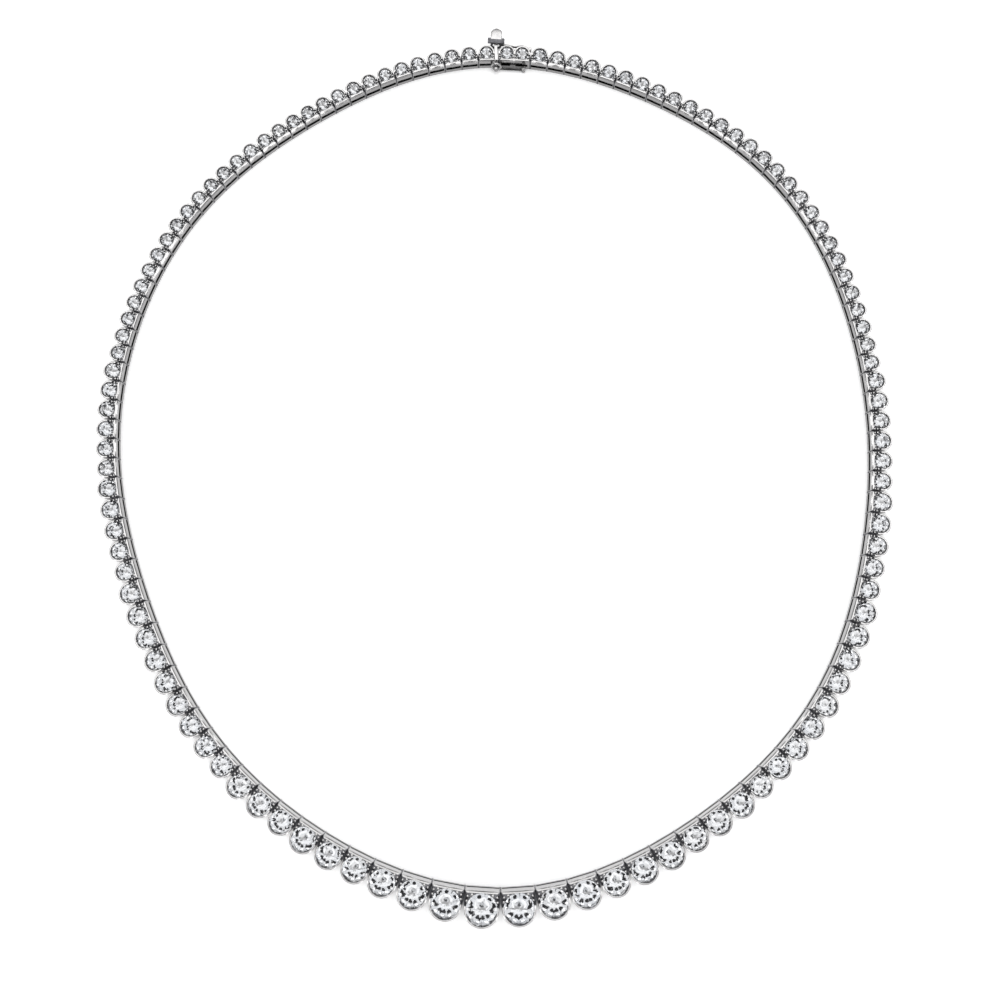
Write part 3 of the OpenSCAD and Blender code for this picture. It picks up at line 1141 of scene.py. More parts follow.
@dataclass(frozen=True)
class CutDiamond:
    """Diamond, cut and polished: colourless, with a faint cold tint that differs from stone to stone, painted
    in for the blue flashes of fire.
    """

    name: str = "cut_diamond"
    colour: str = "#CBCBCB"
    cold_colour: str = "#C2C5CA"
    ior: float = 2.418
    tint_mm: float = 2.5

    def material(self) -> bpy.types.Material:
        """Builds the material.

        Returns:
            The material.
        """
        material, tree = new_material(self.name)
        place = add_node(tree, "ShaderNodeTexCoord")
        # Painted glints: a noise tint in place of the blue flashes of dispersion.
        tint = add_node(
            tree, "ShaderNodeTexNoise", {"Scale": 1 / (self.tint_mm * MM), "Detail": 0.0},
            {"Vector": place.outputs["Object"]},
        )
        colour = add_node(
            tree, "ShaderNodeMix", {"data_type": "RGBA", 6: linear(self.colour), 7: linear(self.cold_colour)},
            {"Factor": tint.outputs["Fac"]},
        )
        shader = add_node(
            tree, "ShaderNodeBsdfPrincipled",
            {"IOR": self.ior, "Roughness": 0.0, "Transmission Weight": 1.0},
            {"Base Color": colour.outputs[2]},
        )
        add_node(tree, "ShaderNodeOutputMaterial", {}, {"Surface": shader.outputs["BSDF"]})
        return material


@dataclass(frozen=True)
class LitAcrylic:
    """Opal acrylic sheet lit from below, as product tables are: an even, overexposed white.

    Reflections and bounced light see it as a darker grey sheet with a painted glow, brightest at the front.
    Painted shade from ambient occlusion dims the glow under and beside the necklace, for the camera too.
    """

    name: str = "lit_opal_acrylic"
    colour: str = "#FAFAFA"
    shade_colour: str = "#F6F6F6"
    mirrored_colour: str = "#A0A0A2"
    roughness: float = 0.35
    glow: float = 0.5
    front_glow: float = 0.85
    back_glow: float = 0.38
    front_mm: float = -76.0
    back_mm: float = 75.0
    mottle_mm: float = 3.0
    shade_mm: float = 5.0
    shade_from: float = 0.15
    shade_to: float = 0.5

    def material(self) -> bpy.types.Material:
        """Builds the material.

        Returns:
            The material.
        """
        material, tree = new_material(self.name)
        place = add_node(tree, "ShaderNodeTexCoord")
        mottle = add_node(
            tree, "ShaderNodeTexNoise", {"Scale": 1 / (self.mottle_mm * MM), "Detail": 2.0},
            {"Vector": place.outputs["Object"]},
        )
        colour = add_node(
            tree, "ShaderNodeMix",
            {"data_type": "RGBA", 6: linear(self.colour), 7: linear(self.shade_colour)},
            {"Factor": mottle.outputs["Fac"]},
        )
        # Reflections and bounced light see a darker grey sheet than the camera does.
        ray = add_node(tree, "ShaderNodeLightPath").outputs["Is Camera Ray"]
        seen = add_node(
            tree, "ShaderNodeMix", {"data_type": "RGBA", 6: linear(self.mirrored_colour)},
            {"Factor": ray, 7: colour.outputs[2]},
        )
        # Painted glow for reflections, brightest at the front and dimmest at the back.
        split = add_node(tree, "ShaderNodeSeparateXYZ", {}, {0: place.outputs["Object"]})
        graded = add_node(
            tree, "ShaderNodeMapRange",
            {"From Min": self.front_mm * MM, "From Max": self.back_mm * MM,
             "To Min": self.front_glow, "To Max": self.back_glow},
            {"Value": split.outputs["Y"]},
        )
        glow = add_node(
            tree, "ShaderNodeMix", {"B": self.glow}, {"Factor": ray, "A": graded.outputs["Result"]},
        )
        # Painted shade: ambient occlusion dims the glow under and beside the necklace.
        open_sky = add_node(
            tree, "ShaderNodeAmbientOcclusion", {"samples": 4, "Distance": self.shade_mm * MM},
        )
        cover = add_node(
            tree, "ShaderNodeMapRange", {"From Min": self.shade_from, "From Max": self.shade_to},
            {"Value": open_sky.outputs["AO"]},
        )
        uncovered = add_node(
            tree, "ShaderNodeMath", {"operation": "MULTIPLY"},
            {0: glow.outputs["Result"], 1: cover.outputs["Result"]},
        )
        shader = add_node(
            tree, "ShaderNodeBsdfPrincipled",
            {"Roughness": self.roughness, "Specular IOR Level": 0.2, "Emission Color": linear(self.colour)},
            {"Base Color": seen.outputs[2], "Emission Strength": uncovered.outputs["Value"]},
        )
        add_node(tree, "ShaderNodeOutputMaterial", {}, {"Surface": shader.outputs["BSDF"]})
        return material


@dataclass(frozen=True)
class LinkLine:
    """One half of the line: its collets, corner beads and hidden hinges."""

    side: str
    members: list[Member]
    following: dict[int, Member]
    slot_low: float = 0.74
    slot_top: float = 1.41
    slot_margin: float = 0.12
    door_low: float = 0.42
    door_top: float = 1.62
    bead_radius: float = 0.19
    bead_turns: tuple[float, ...] = (36, 62, 49)
    bead_shares: tuple[float, ...] = (1.0, 0.8, 0.75)
    bead_rows: tuple[float, ...] = (1.0, 1.0, 2.8)
    bead_dome: float = 0.35
    bead_depth: float = 0.4
    bead_drop: float = 0.03
    pin_radius: float = 0.16
    pin_room: float = 0.11
    pin_x: float = 0.6
    pin_y: float = 1.02
    eye_low: float = 0.9
    eye_depth: float = 0.35
    eye_radius: float = 0.5
    neck_width: float = 0.76
    shelf_low: float = 0.12
    shelf_top: float = 0.62
    shelf_width: float = 1.15
    shelf_depth: float = 1.55
    shelf_gap: float = 0.15
    deck: float = 0.75

    def collet(self, member: Member) -> Collet:
        """The collet of a link.

        Args:
            member: The link.

        Returns:
            The collet, with its gallery slot and doorway.
        """
        half = member.outer_radius
        edge = half - self.slot_margin
        windows = (
            Opening(Face.FRONT, -edge, edge, self.slot_low, self.slot_top),
            Opening(Face.LEFT, self.door_low, self.door_top, self.slot_low, self.slot_top),
        )
        return Collet(half, half, member.stone_radius, member.stone_y, member.height, windows, member.fan)

    def add_beads(self, builder: MeshBuilder, member: Member, x: float) -> None:
        """Adds the raised beads in the two corners beside a stone.

        Args:
            builder: The mesh that gets the faces.
            member: The member that carries it.
            x: Middle of the stone along the member.
        """
        arc = [math.radians(a) for a in range(0, 90, 18)]

        def foot(radius: float) -> Section:
            """The part of a bead's profile that is sunk in the corner."""
            return [(0.0, -self.bead_depth), (radius, -self.bead_depth)]

        for side in (-1, 1):
            for turn, share, row in zip(self.bead_turns, self.bead_shares, self.bead_rows):
                radius = self.bead_radius * share * math.sqrt(member.size_share)
                away = member.stone_radius + row * radius
                at = (
                    x + side * away * math.sin(math.radians(turn)),
                    member.stone_y - away * math.cos(math.radians(turn)),
                    member.height - self.bead_drop,
                )
                dome = [(radius * math.cos(t), self.bead_dome * radius * (math.sin(t) - 1)) for t in arc]
                bead = turned([*foot(radius), *dome, (0.0, 0.0)], 12, closed=False)
                builder.add(*bead, member.matrix() @ Matrix.Translation(at))

    def build_collets(self, metals: list[bpy.types.Material]) -> bpy.types.Object:
        """Builds the walls, bars and bezels.

        Args:
            metals: The polished metal, the filed metal darkened with painted shade, and the near-black
                painted shade metal, in the order of Finish.

        Returns:
            The joined collets.
        """
        builder = MeshBuilder(f"collets_{self.side}")
        for member in self.members:
            points, faces, slots = self.collet(member).surface()
            builder.add(points, faces, member.matrix(), slots)
        return builder.build(metals, COLLET_SHARP)

    def build_beads(self, platinum: bpy.types.Material) -> bpy.types.Object:
        """Builds the corner beads.

        Args:
            platinum: The polished metal.

        Returns:
            The joined beads.
        """
        builder = MeshBuilder(f"corner_beads_{self.side}")
        for member in self.members:
            self.add_beads(builder, member, 0.0)
        return builder.build([platinum])

    def build_hinges(self, metal: bpy.types.Material) -> bpy.types.Object:
        """Builds the pins with their shelves, and the eye that each link hangs on the next one's pin.

        Args:
            metal: The near-black painted shade metal of the hollows.

        Returns:
            The joined pins, shelves and eyes.
        """
        builder = MeshBuilder(f"hinges_{self.side}")
        for member in self.members:
            self.add_pin(builder, member)
            self.add_eye(builder, member, self.following[member.number])
        return builder.build([metal])

    def add_pin(self, builder: MeshBuilder, member: Member) -> None:
        """Adds a link's own pin and shelf.

        Args:
            builder: The mesh that gets the faces.
            member: The member that carries it.
        """
        left = -member.outer_radius + member.stone_places[0]
        shelf = rounded_outline(self.shelf_width - self.shelf_gap, self.shelf_depth, 0.04)
        middle = (left + (self.shelf_width + self.shelf_gap) / 2, self.shelf_gap + self.shelf_depth / 2, 0)
        place = member.matrix() @ Matrix.Translation(middle)
        builder.add(*slab(shelf, self.shelf_low, self.shelf_top, SOFT), place)
        top = member.height - self.deck
        pin = [(0.0, self.shelf_low), (self.pin_radius, self.shelf_low), (self.pin_radius, top), (0.0, top)]
        at = Matrix.Translation((left + self.pin_x, self.pin_y, 0))
        builder.add(*turned(pin, 16, closed=False), member.matrix() @ at)

    def add_eye(self, builder: MeshBuilder, member: Member, after: Member) -> None:
        """Adds the eye of a member on the pin of the next one.

        Args:
            builder: The mesh that gets the faces.
            member: The member that carries it.
            after: The member whose pin it hangs on.
        """
        root = member.matrix() @ Vector((member.width / 2 - 0.15, self.pin_y, 0))
        pin = after.matrix() @ Vector((-after.width / 2 + self.pin_x, self.pin_y, 0))
        run = pin - root
        low, top, soft = self.eye_low, self.eye_low + self.eye_depth, SOFT
        hole = self.pin_radius + self.pin_room
        ring = [
            (self.eye_radius - soft, low), (self.eye_radius, low + soft), (self.eye_radius, top - soft),
            (self.eye_radius - soft, top), (hole, top), (hole, low),
        ]
        builder.add(*turned(ring, 20), Matrix.Translation(pin))
        length = run.length - (self.eye_radius + hole) / 2
        neck = rounded_outline(length, self.neck_width, SOFT)
        heading = Matrix.Rotation(math.atan2(run.y, run.x), 4, "Z")
        place = Matrix.Translation(root) @ heading @ Matrix.Translation((length / 2, 0, 0))
        builder.add(*slab(neck, low + 0.01, top - 0.01, SOFT), place)


@dataclass(frozen=True)
class ClaspPlan:
    """Places and sizes that the clasp's pieces share, in the box's frame."""

    box: Member
    tongue: Member
    plate_length: float = 2.85
    stud_height: float = 1.2
    inner_plane: float = -0.52
    outer_plane: float = 3.55
    inner_hinge_x: float = 1.75
    knuckle_radius: float = 0.32
    pin_radius: float = 0.14
    pin_room: float = 0.06
    hinge_room: float = 0.12
    hinge_turn: float = math.pi / 4
    ear_thickness: float = 0.2
    ear_span: float = 1.05
    inner_ears_low: float = 0.12
    outer_ears_low: float = 0.95
    wall: float = 0.3
    bevel: float = 0.05

    @property
    def plate_x(self) -> float:
        """Middle of the end plate in the tongue's frame."""
        return self.tongue.width / 2 - self.tongue.end_plate / 2

    def stud(self, side: CatchSide) -> Vector:
        """Foot of a ball stud on the end plate."""
        y = 0.0 if side is CatchSide.INNER else self.plate_length
        return self.box.matrix().inverted() @ self.tongue.matrix() @ Vector((self.plate_x, y, 0))

    def plane(self, side: CatchSide) -> float:
        """The y in which a catch's ring stands."""
        return self.inner_plane if side is CatchSide.INNER else self.outer_plane

    def hinge(self, side: CatchSide) -> Vector:
        """Middle of a catch's pin.

        Args:
            side: The catch's side of the line.

        Returns:
            The pin's place, in the box's frame.
        """
        if side is CatchSide.INNER:
            return Vector((self.inner_hinge_x, self.inner_plane, 0))
        away = self.box.outer_radius + self.knuckle_radius + self.hinge_room
        x = self.box.stone_places[1] + away * math.cos(self.hinge_turn)
        return Vector((x, self.box.stone_y + away * math.sin(self.hinge_turn), 0))

    def heading(self, side: CatchSide) -> float:
        """Direction in which a hinge's ears reach out."""
        return -math.pi / 2 if side is CatchSide.INNER else self.hinge_turn

    def ears_low(self, side: CatchSide) -> float:
        """Height of a hinge's lower ear."""
        return self.inner_ears_low if side is CatchSide.INNER else self.outer_ears_low


@dataclass(frozen=True)
class ClaspBox:
    """The box: two collets over a hollow, with a floor, hinge ears, a rivet and the line's first eye."""

    plan: ClaspPlan
    line: LinkLine
    first_link: Member
    floor: float = 0.25
    floor_room: float = 0.02
    foot_steps: int = 40
    slots: tuple[tuple[float, float], ...] = ((-2.43, -0.65), (0.25, 2.43))
    mouth: tuple[float, float] = (0.5, 1.5)
    mouth_top: float = 0.98
    rivet_x: float = -1.6
    rivet_z: float = 1.95
    rivet_radius: float = 0.24
    rivet_rise: float = 0.06
    post_width: float = 0.36
    post_proud: float = 0.005

    def build_case(self, metals: list[bpy.types.Material]) -> bpy.types.Object:
        """Builds the walls, deck and floor.

        Args:
            metals: The polished metal, the filed metal darkened with painted shade, and the near-black
                painted shade metal, in the order of Finish.

        Returns:
            The case.
        """
        builder = MeshBuilder("clasp_case")
        box, plan = self.plan.box, self.plan
        half = box.outer_radius
        for x, (start, end) in zip(box.stone_places, self.slots):
            windows = [Opening(Face.FRONT, start - x, end - x, self.line.slot_low, self.line.slot_top)]
            if x < 0:
                windows.append(Opening(Face.LEFT, *self.mouth, self.floor, self.mouth_top))
            fan = (box.fan[0], 0.0) if x < 0 else (0.0, box.fan[1])
            sizes = (half, half, box.stone_radius, box.stone_y, box.height)
            points, faces, slots = Collet(*sizes, tuple(windows), fan, (x < 0, x > 0)).surface()
            builder.add(points, faces, box.matrix() @ Matrix.Translation((x, 0, 0)), slots)
            turns = [math.tau * i / self.foot_steps for i in range(self.foot_steps)]
            foot = [on_circle(half - self.floor_room, t) for t in turns]
            middle = Matrix.Translation((x, box.stone_y, 0))
            builder.add(*slab(foot, 0.0, self.floor, plan.bevel), box.matrix() @ middle)
        post = rounded_outline(self.post_width, box.bar_width + 2 * self.post_proud, self.post_proud)
        across = Matrix.Translation((0, box.bar_width / 2, 0))
        builder.add(*slab(post, 0.05, box.height + self.post_proud, self.post_proud), box.matrix() @ across)
        floor = rounded_outline(box.width - 2 * self.floor_room, box.stone_y, 0.04)
        middle = Matrix.Translation((0, box.stone_y / 2 + 0.01, 0))
        builder.add(*slab(floor, 0.0, self.floor, plan.bevel), box.matrix() @ middle)
        return builder.build(metals, COLLET_SHARP)

    def build_fittings(self, platinum: bpy.types.Material) -> bpy.types.Object:
        """Builds the corner beads, the rivet, the hinge ears and the eye of the first link.

        Args:
            platinum: The polished metal.

        Returns:
            The joined fittings.
        """
        builder = MeshBuilder("clasp_fittings")
        for x in self.plan.box.stone_places:
            self.line.add_beads(builder, self.plan.box, x)
        self.add_rivet(builder)
        for side in CatchSide:
            self.add_ears(builder, side)
        self.line.add_eye(builder, self.plan.box, self.first_link)
        return builder.build([platinum])

    def add_rivet(self, builder: MeshBuilder) -> None:
        """Adds the rivet's head on the inner wall.

        Args:
            builder: The mesh that gets the faces.
        """
        deep, radius = self.plan.wall / 2, self.rivet_radius
        high = deep + self.rivet_rise
        head = [(0.0, 0.0), (radius, 0.0), (radius, high - 0.04), (radius * 0.8, high - 0.01), (0.0, high)]
        at = Matrix.Translation((self.rivet_x, deep, self.rivet_z)) @ Matrix.Rotation(math.pi / 2, 4, "X")
        builder.add(*turned(head, 20, closed=False), self.plan.box.matrix() @ at)

    def add_ears(self, builder: MeshBuilder, side: CatchSide) -> None:
        """Adds two ears and the pin between them.

        Args:
            builder: The mesh that gets the faces.
            side: The catch's side of the line.
        """
        plan = self.plan
        reach = -plan.inner_plane if side is CatchSide.INNER else plan.knuckle_radius + plan.hinge_room
        outline = round_end(reach + plan.wall / 2, plan.knuckle_radius)
        low = plan.ears_low(side)
        turn = Matrix.Rotation(plan.heading(side), 4, "Z")
        place = plan.box.matrix() @ Matrix.Translation(plan.hinge(side)) @ turn
        for z in (low, low + plan.ear_span - plan.ear_thickness):
            builder.add(*slab(outline, z, z + plan.ear_thickness, SOFT), place)
        ends = (low + plan.ear_thickness / 2, low + plan.ear_span - plan.ear_thickness / 2)
        pin = [(0.0, ends[0]), (plan.pin_radius, ends[0]), (plan.pin_radius, ends[1]), (0.0, ends[1])]
        builder.add(*turned(pin, 16, closed=False), place)


@dataclass(frozen=True)
class TongueLink:
    """The last link: a collet with a thick end plate, the folded tongue and the two ball studs."""

    plan: ClaspPlan
    line: LinkLine
    tongue_y: float = 1.45
    tongue_width: float = 1.1
    tongue_low: float = 0.36
    tongue_height: float = 0.5
    tongue_reach: float = 1.95
    leaf: float = 0.15
    neck_radius: float = 0.2
    ball_radii: tuple[float, float] = (0.5, 0.44)

    def build_body(self, metals: list[bpy.types.Material]) -> bpy.types.Object:
        """Builds the collet and the end plate.

        Args:
            metals: The polished metal, the filed metal darkened with painted shade, and the near-black
                painted shade metal, in the order of Finish.

        Returns:
            The body.
        """
        builder = MeshBuilder("tongue_body")
        plan, tongue = self.plan, self.plan.tongue
        place = tongue.matrix() @ Matrix.Translation((tongue.stone_places[0], 0, 0))
        points, faces, slots = self.line.collet(tongue).surface()
        builder.add(points, faces, place, slots)
        plate = rounded_outline(tongue.end_plate, plan.plate_length, 0.06)
        middle = Matrix.Translation((plan.plate_x, plan.plate_length / 2, 0))
        builder.add(*slab(plate, 0.0, tongue.height, plan.bevel), tongue.matrix() @ middle)
        return builder.build(metals, COLLET_SHARP)

    def build_fittings(self, platinum: bpy.types.Material) -> bpy.types.Object:
        """Builds the corner beads, the hinge pin, the folded tongue and the two ball studs.

        Args:
            platinum: The polished metal.

        Returns:
            The joined fittings.
        """
        builder = MeshBuilder("tongue_fittings")
        self.line.add_beads(builder, self.plan.tongue, self.plan.tongue.stone_places[0])
        self.line.add_pin(builder, self.plan.tongue)
        self.add_tongue(builder)
        for side, radius in zip(CatchSide, self.ball_radii):
            self.add_stud(builder, side, radius)
        return builder.build([platinum])

    def add_tongue(self, builder: MeshBuilder) -> None:
        """Adds the two leaves and the round fold at their far end.

        Args:
            builder: The mesh that gets the faces.
        """
        bend = (self.tongue_height - self.leaf) / 2
        root = self.plan.tongue.width / 2
        start, end = root - 0.05, root + self.tongue_reach
        turns = [math.pi * (i / 10 - 0.5) for i in range(11)]
        fold = [(end + bend * math.cos(t), bend * math.sin(t)) for t in turns]
        path = [(start, -bend), *fold, (start, bend)]
        thin = self.leaf / 2
        far, near = -self.tongue_y - self.tongue_width / 2, -self.tongue_y + self.tongue_width / 2
        section = [(-thin, far), (thin, far), (thin, near), (-thin, near)]
        lift = Matrix.Translation((0, 0, self.tongue_low + self.tongue_height / 2))
        upright = lift @ Matrix.Rotation(math.pi / 2, 4, "X")
        builder.add(*swept(path, section), self.plan.tongue.matrix() @ upright)

    def add_stud(self, builder: MeshBuilder, side: CatchSide, radius: float) -> None:
        """Adds a neck and the ball that a catch's ring snaps over.

        Args:
            builder: The mesh that gets the faces.
            side: The catch's side of the line.
            radius: Radius of the ball.
        """
        foot = self.plan.stud(side)
        neck = abs(self.plan.plane(side) - (0.0 if side is CatchSide.INNER else foot.y)) + radius
        turns = [math.radians(a) for a in range(-60, 90, 15)]
        back = self.plan.tongue.end_plate
        profile = [(0.0, -back), (self.neck_radius, -back), (self.neck_radius, neck - radius * 0.9)]
        profile += [(radius * math.cos(t), neck + radius * math.sin(t)) for t in turns]
        profile += [(0.0, neck + radius)]
        way = 1 if side is CatchSide.INNER else -1
        turn = Matrix.Rotation(way * math.pi / 2, 4, "X")
        at = Matrix.Translation((foot.x, foot.y, self.plan.stud_height)) @ turn
        builder.add(*turned(profile, 20, closed=False), self.plan.box.matrix() @ at)


@dataclass(frozen=True)
class SafetyCatch:
    """A catch: knuckle, upright strip and the ring that snaps over a ball; the outer one has a thumb tab."""

    plan: ClaspPlan
    side: CatchSide
    ring_radius: float = 0.83
    wire: float = 0.4
    strip_thickness: float = 0.26
    strip_height: float = 0.42
    strip_start: float = 0.26
    strip_dip: float = 0.25
    strip_end_share: float = 0.85
    tab_thickness: float = 0.3
    tab_width: float = 2.05
    tab_length: float = 1.9
    base_width: float = 3.0
    base_depth: float = 1.0
    tab_inset: float = 0.15
    tab_sink: float = 0.17
    tab_dome: float = 0.28

    def build(self, metals: list[bpy.types.Material]) -> bpy.types.Object:
        """Builds the catch.

        Args:
            metals: The polished metal, the filed metal darkened with painted shade, and the near-black
                painted shade metal, in the order of Finish.

        Returns:
            The catch.
        """
        builder = MeshBuilder(f"safety_catch_{self.side.value}")
        plan = self.plan
        place = plan.box.matrix()
        ring_at = Vector((plan.stud(self.side).x, plan.plane(self.side), plan.stud_height))
        turns = [math.tau * i / 14 for i in range(14)]
        ring = [(self.ring_radius + self.wire / 2 * math.cos(t), self.wire / 2 * math.sin(t)) for t in turns]
        upright = Matrix.Translation(ring_at) @ Matrix.Rotation(math.pi / 2, 4, "X")
        points, faces = turned(ring, 28)
        # The outer catch's ring is darkened with painted shade.
        finish = Finish.RAW if self.side is CatchSide.OUTER else Finish.POLISHED
        builder.add(points, faces, place @ upright, [finish.value] * len(faces))
        self.add_knuckle(builder)
        self.add_strip(builder, ring_at)
        if self.side is CatchSide.OUTER:
            self.add_tab(builder, ring_at)
        return builder.build(metals, sharp_angle=30)

    def add_knuckle(self, builder: MeshBuilder) -> None:
        """Adds the eye that turns on the hinge's pin.

        Args:
            builder: The mesh that gets the faces.
        """
        plan = self.plan
        low = plan.ears_low(self.side) + plan.ear_thickness + plan.hinge_room / 2
        high = low + plan.ear_span - 2 * plan.ear_thickness - plan.hinge_room
        hole, soft = plan.pin_radius + plan.pin_room, SOFT
        section = [
            (hole, low), (plan.knuckle_radius - soft, low), (plan.knuckle_radius, low + soft),
            (plan.knuckle_radius, high - soft), (plan.knuckle_radius - soft, high), (hole, high),
        ]
        builder.add(*turned(section, 24), plan.box.matrix() @ Matrix.Translation(plan.hinge(self.side)))

    def add_strip(self, builder: MeshBuilder, ring_at: Vector) -> None:
        """Adds the strip from the knuckle to the ring: polished on top, near-black painted shade on its
        sides, and filed ends darkened with painted shade.

        Args:
            builder: The mesh that gets the faces.
            ring_at: Middle of the catch's ring, in the box's frame.
        """
        plan = self.plan
        hinge = plan.hinge(self.side)
        end = (ring_at.x + self.ring_radius * self.strip_end_share, ring_at.y)
        if self.side is CatchSide.INNER:
            path = [(hinge.x - self.strip_start, hinge.y), end]
        else:
            turn = plan.hinge_turn + math.pi / 2
            start = (hinge.x + self.strip_start * math.cos(turn), hinge.y + self.strip_start * math.sin(turn))
            stone_x = plan.box.stone_places[1]
            path = flowing([start, (stone_x, plan.outer_plane), (0.0, plan.outer_plane - self.strip_dip),
                            (-stone_x, plan.outer_plane), end])
        low = plan.ears_low(self.side) + plan.ear_thickness + plan.hinge_room
        high, half, soft = low + self.strip_height, self.strip_thickness / 2, plan.bevel
        section = [(-half, low), (half, low), (half, high - soft)]
        section += [(half - soft, high), (soft - half, high), (-half, high - soft)]
        points, faces = swept(path, section)
        # Its sides are near-black painted shade.
        sides = [Finish.HOLLOW] * 2 + [Finish.POLISHED] * 3 + [Finish.HOLLOW]
        slots = [side.value for side in sides] * (len(path) - 1) + [Finish.RAW.value] * 2
        builder.add(points, faces, plan.box.matrix(), slots)

    def add_tab(self, builder: MeshBuilder, ring_at: Vector) -> None:
        """Adds the thumb tab and its base plate.

        Args:
            builder: The mesh that gets the faces.
            ring_at: Middle of the catch's ring, in the box's frame.
        """
        low = ring_at.z + self.ring_radius - self.tab_sink
        place = self.plan.box.matrix() @ Matrix.Translation((ring_at.x, ring_at.y - self.tab_inset, low))
        base = rounded_outline(self.base_width, self.base_depth, 0.12)
        points, faces = slab(base, 0.0, self.tab_thickness, 0.06)
        middle = Matrix.Translation((0, self.base_depth / 2, 0))
        # The base plate is darkened with painted shade.
        builder.add(points, faces, place @ middle, [Finish.RAW.value] * len(faces))
        radius = self.tab_width / 2
        straight = self.base_depth + self.tab_length - radius
        tab = round_end(straight - self.base_depth * 0.6, radius, 20)
        turned_up = Matrix.Translation((0, straight, 0.01)) @ Matrix.Rotation(math.pi / 2, 4, "Z")
        dome = slab(tab, 0.0, self.tab_thickness, self.tab_dome, self.tab_thickness / 2, 4)
        builder.add(*dome, place @ turned_up)


@dataclass(frozen=True)
class StoneLine:
    """A run of brilliants, each turned in its seat as the setter left it."""

    name: str
    members: list[Member]
    seed: int
    large_share: float = 1.4
    girdle_sink: float = 0.33
    tilt_limit: float = 1.5

    def build(self, cuts: dict[Cut, Surface], diamond: bpy.types.Material) -> bpy.types.Object:
        """Builds the stones.

        Args:
            cuts: Points and faces of the brilliants with a girdle radius of 1.
            diamond: The stones' material.

        Returns:
            The joined stones.
        """
        chance = random.Random(self.seed)
        builder = MeshBuilder(self.name)
        for member in self.members:
            for x in member.stone_places:
                turn = Matrix.Rotation(chance.uniform(0, math.tau), 4, "Z")
                limit = self.tilt_limit / member.size_share
                tilt = Matrix.Rotation(math.radians(chance.uniform(0, limit)), 4, "X")
                seat = Matrix.Translation((x, member.stone_y, member.height - self.girdle_sink))
                place = member.matrix() @ seat @ turn @ tilt
                cut = cuts[Cut.LARGE if member.size_share > self.large_share else Cut.SMALL]
                builder.add(*cut, place @ Matrix.Scale(member.stone_radius, 4), smooth=False)
        return builder.build([diamond])


@dataclass(frozen=True)
class Softbox:
    """A softbox over the table that looks straight down, or at the necklace if tilted."""

    name: str
    shape: LampShape
    width: float
    depth: float
    place: Point
    radiance: float
    tilted: bool = False

    def hang(self) -> None:
        """Hangs the softbox."""
        data = bpy.data.lights.new(self.name, "AREA")
        data.shape, data.size, data.size_y = self.shape.name, self.width * MM, self.depth * MM
        data.energy = self.radiance * math.pi * self.shape.value * self.width * self.depth * MM * MM
        light = link_object(self.name, data)
        light.location = Vector(self.place) * MM
        if self.tilted:
            light.rotation_euler = Vector(self.place).to_track_quat("Z", "Y").to_euler()


@dataclass(frozen=True)
class SoftboxRing:
    """Low softboxes in a ring, each turned to the necklace, with dark gaps between them."""

    name: str = "low_softbox"
    count: int = 12
    reach: float = 620.0
    height: float = 240.0
    width: float = 120.0
    depth: float = 170.0
    radiance: float = 3.5

    def hang(self) -> None:
        """Hangs the softboxes."""
        for i in range(self.count):
            turn = math.tau * (i + 0.5) / self.count
            place = (self.reach * math.sin(turn), self.reach * math.cos(turn), self.height)
            name, shape = f"{self.name}_{i}", LampShape.RECTANGLE
            Softbox(name, shape, self.width, self.depth, place, self.radiance, tilted=True).hang()


@dataclass(frozen=True)
class LensFront:
    """The dark front of the lens, which the stones mirror as a star. The camera itself doesn't see it."""

    radius: float = 32.0
    behind: float = 4.0
    steps: int = 48
    colour: str = "#141416"

    def place(self, eye: Vector, target: Vector) -> None:
        """Puts the disc just behind the camera.

        Args:
            eye: The camera's place.
            target: What the camera looks at.
        """
        mesh = bpy.data.meshes.new("lens_front")
        turns = [math.tau * i / self.steps for i in range(self.steps)]
        rim = [(*on_circle(self.radius * MM, t), 0.0) for t in turns]
        mesh.from_pydata(rim, [], [list(range(self.steps))])
        material, tree = new_material("lens_black")
        black = {"Base Color": linear(self.colour), "Roughness": 0.5}
        shader = add_node(tree, "ShaderNodeBsdfPrincipled", black)
        add_node(tree, "ShaderNodeOutputMaterial", {}, {"Surface": shader.outputs["BSDF"]})
        mesh.materials.append(material)
        disc = link_object("lens_front", mesh)
        away = (eye - target).normalized()
        disc.location = eye + away * self.behind * MM
        disc.rotation_euler = away.to_track_quat("Z", "Y").to_euler()
        disc.visible_camera = disc.visible_shadow = False


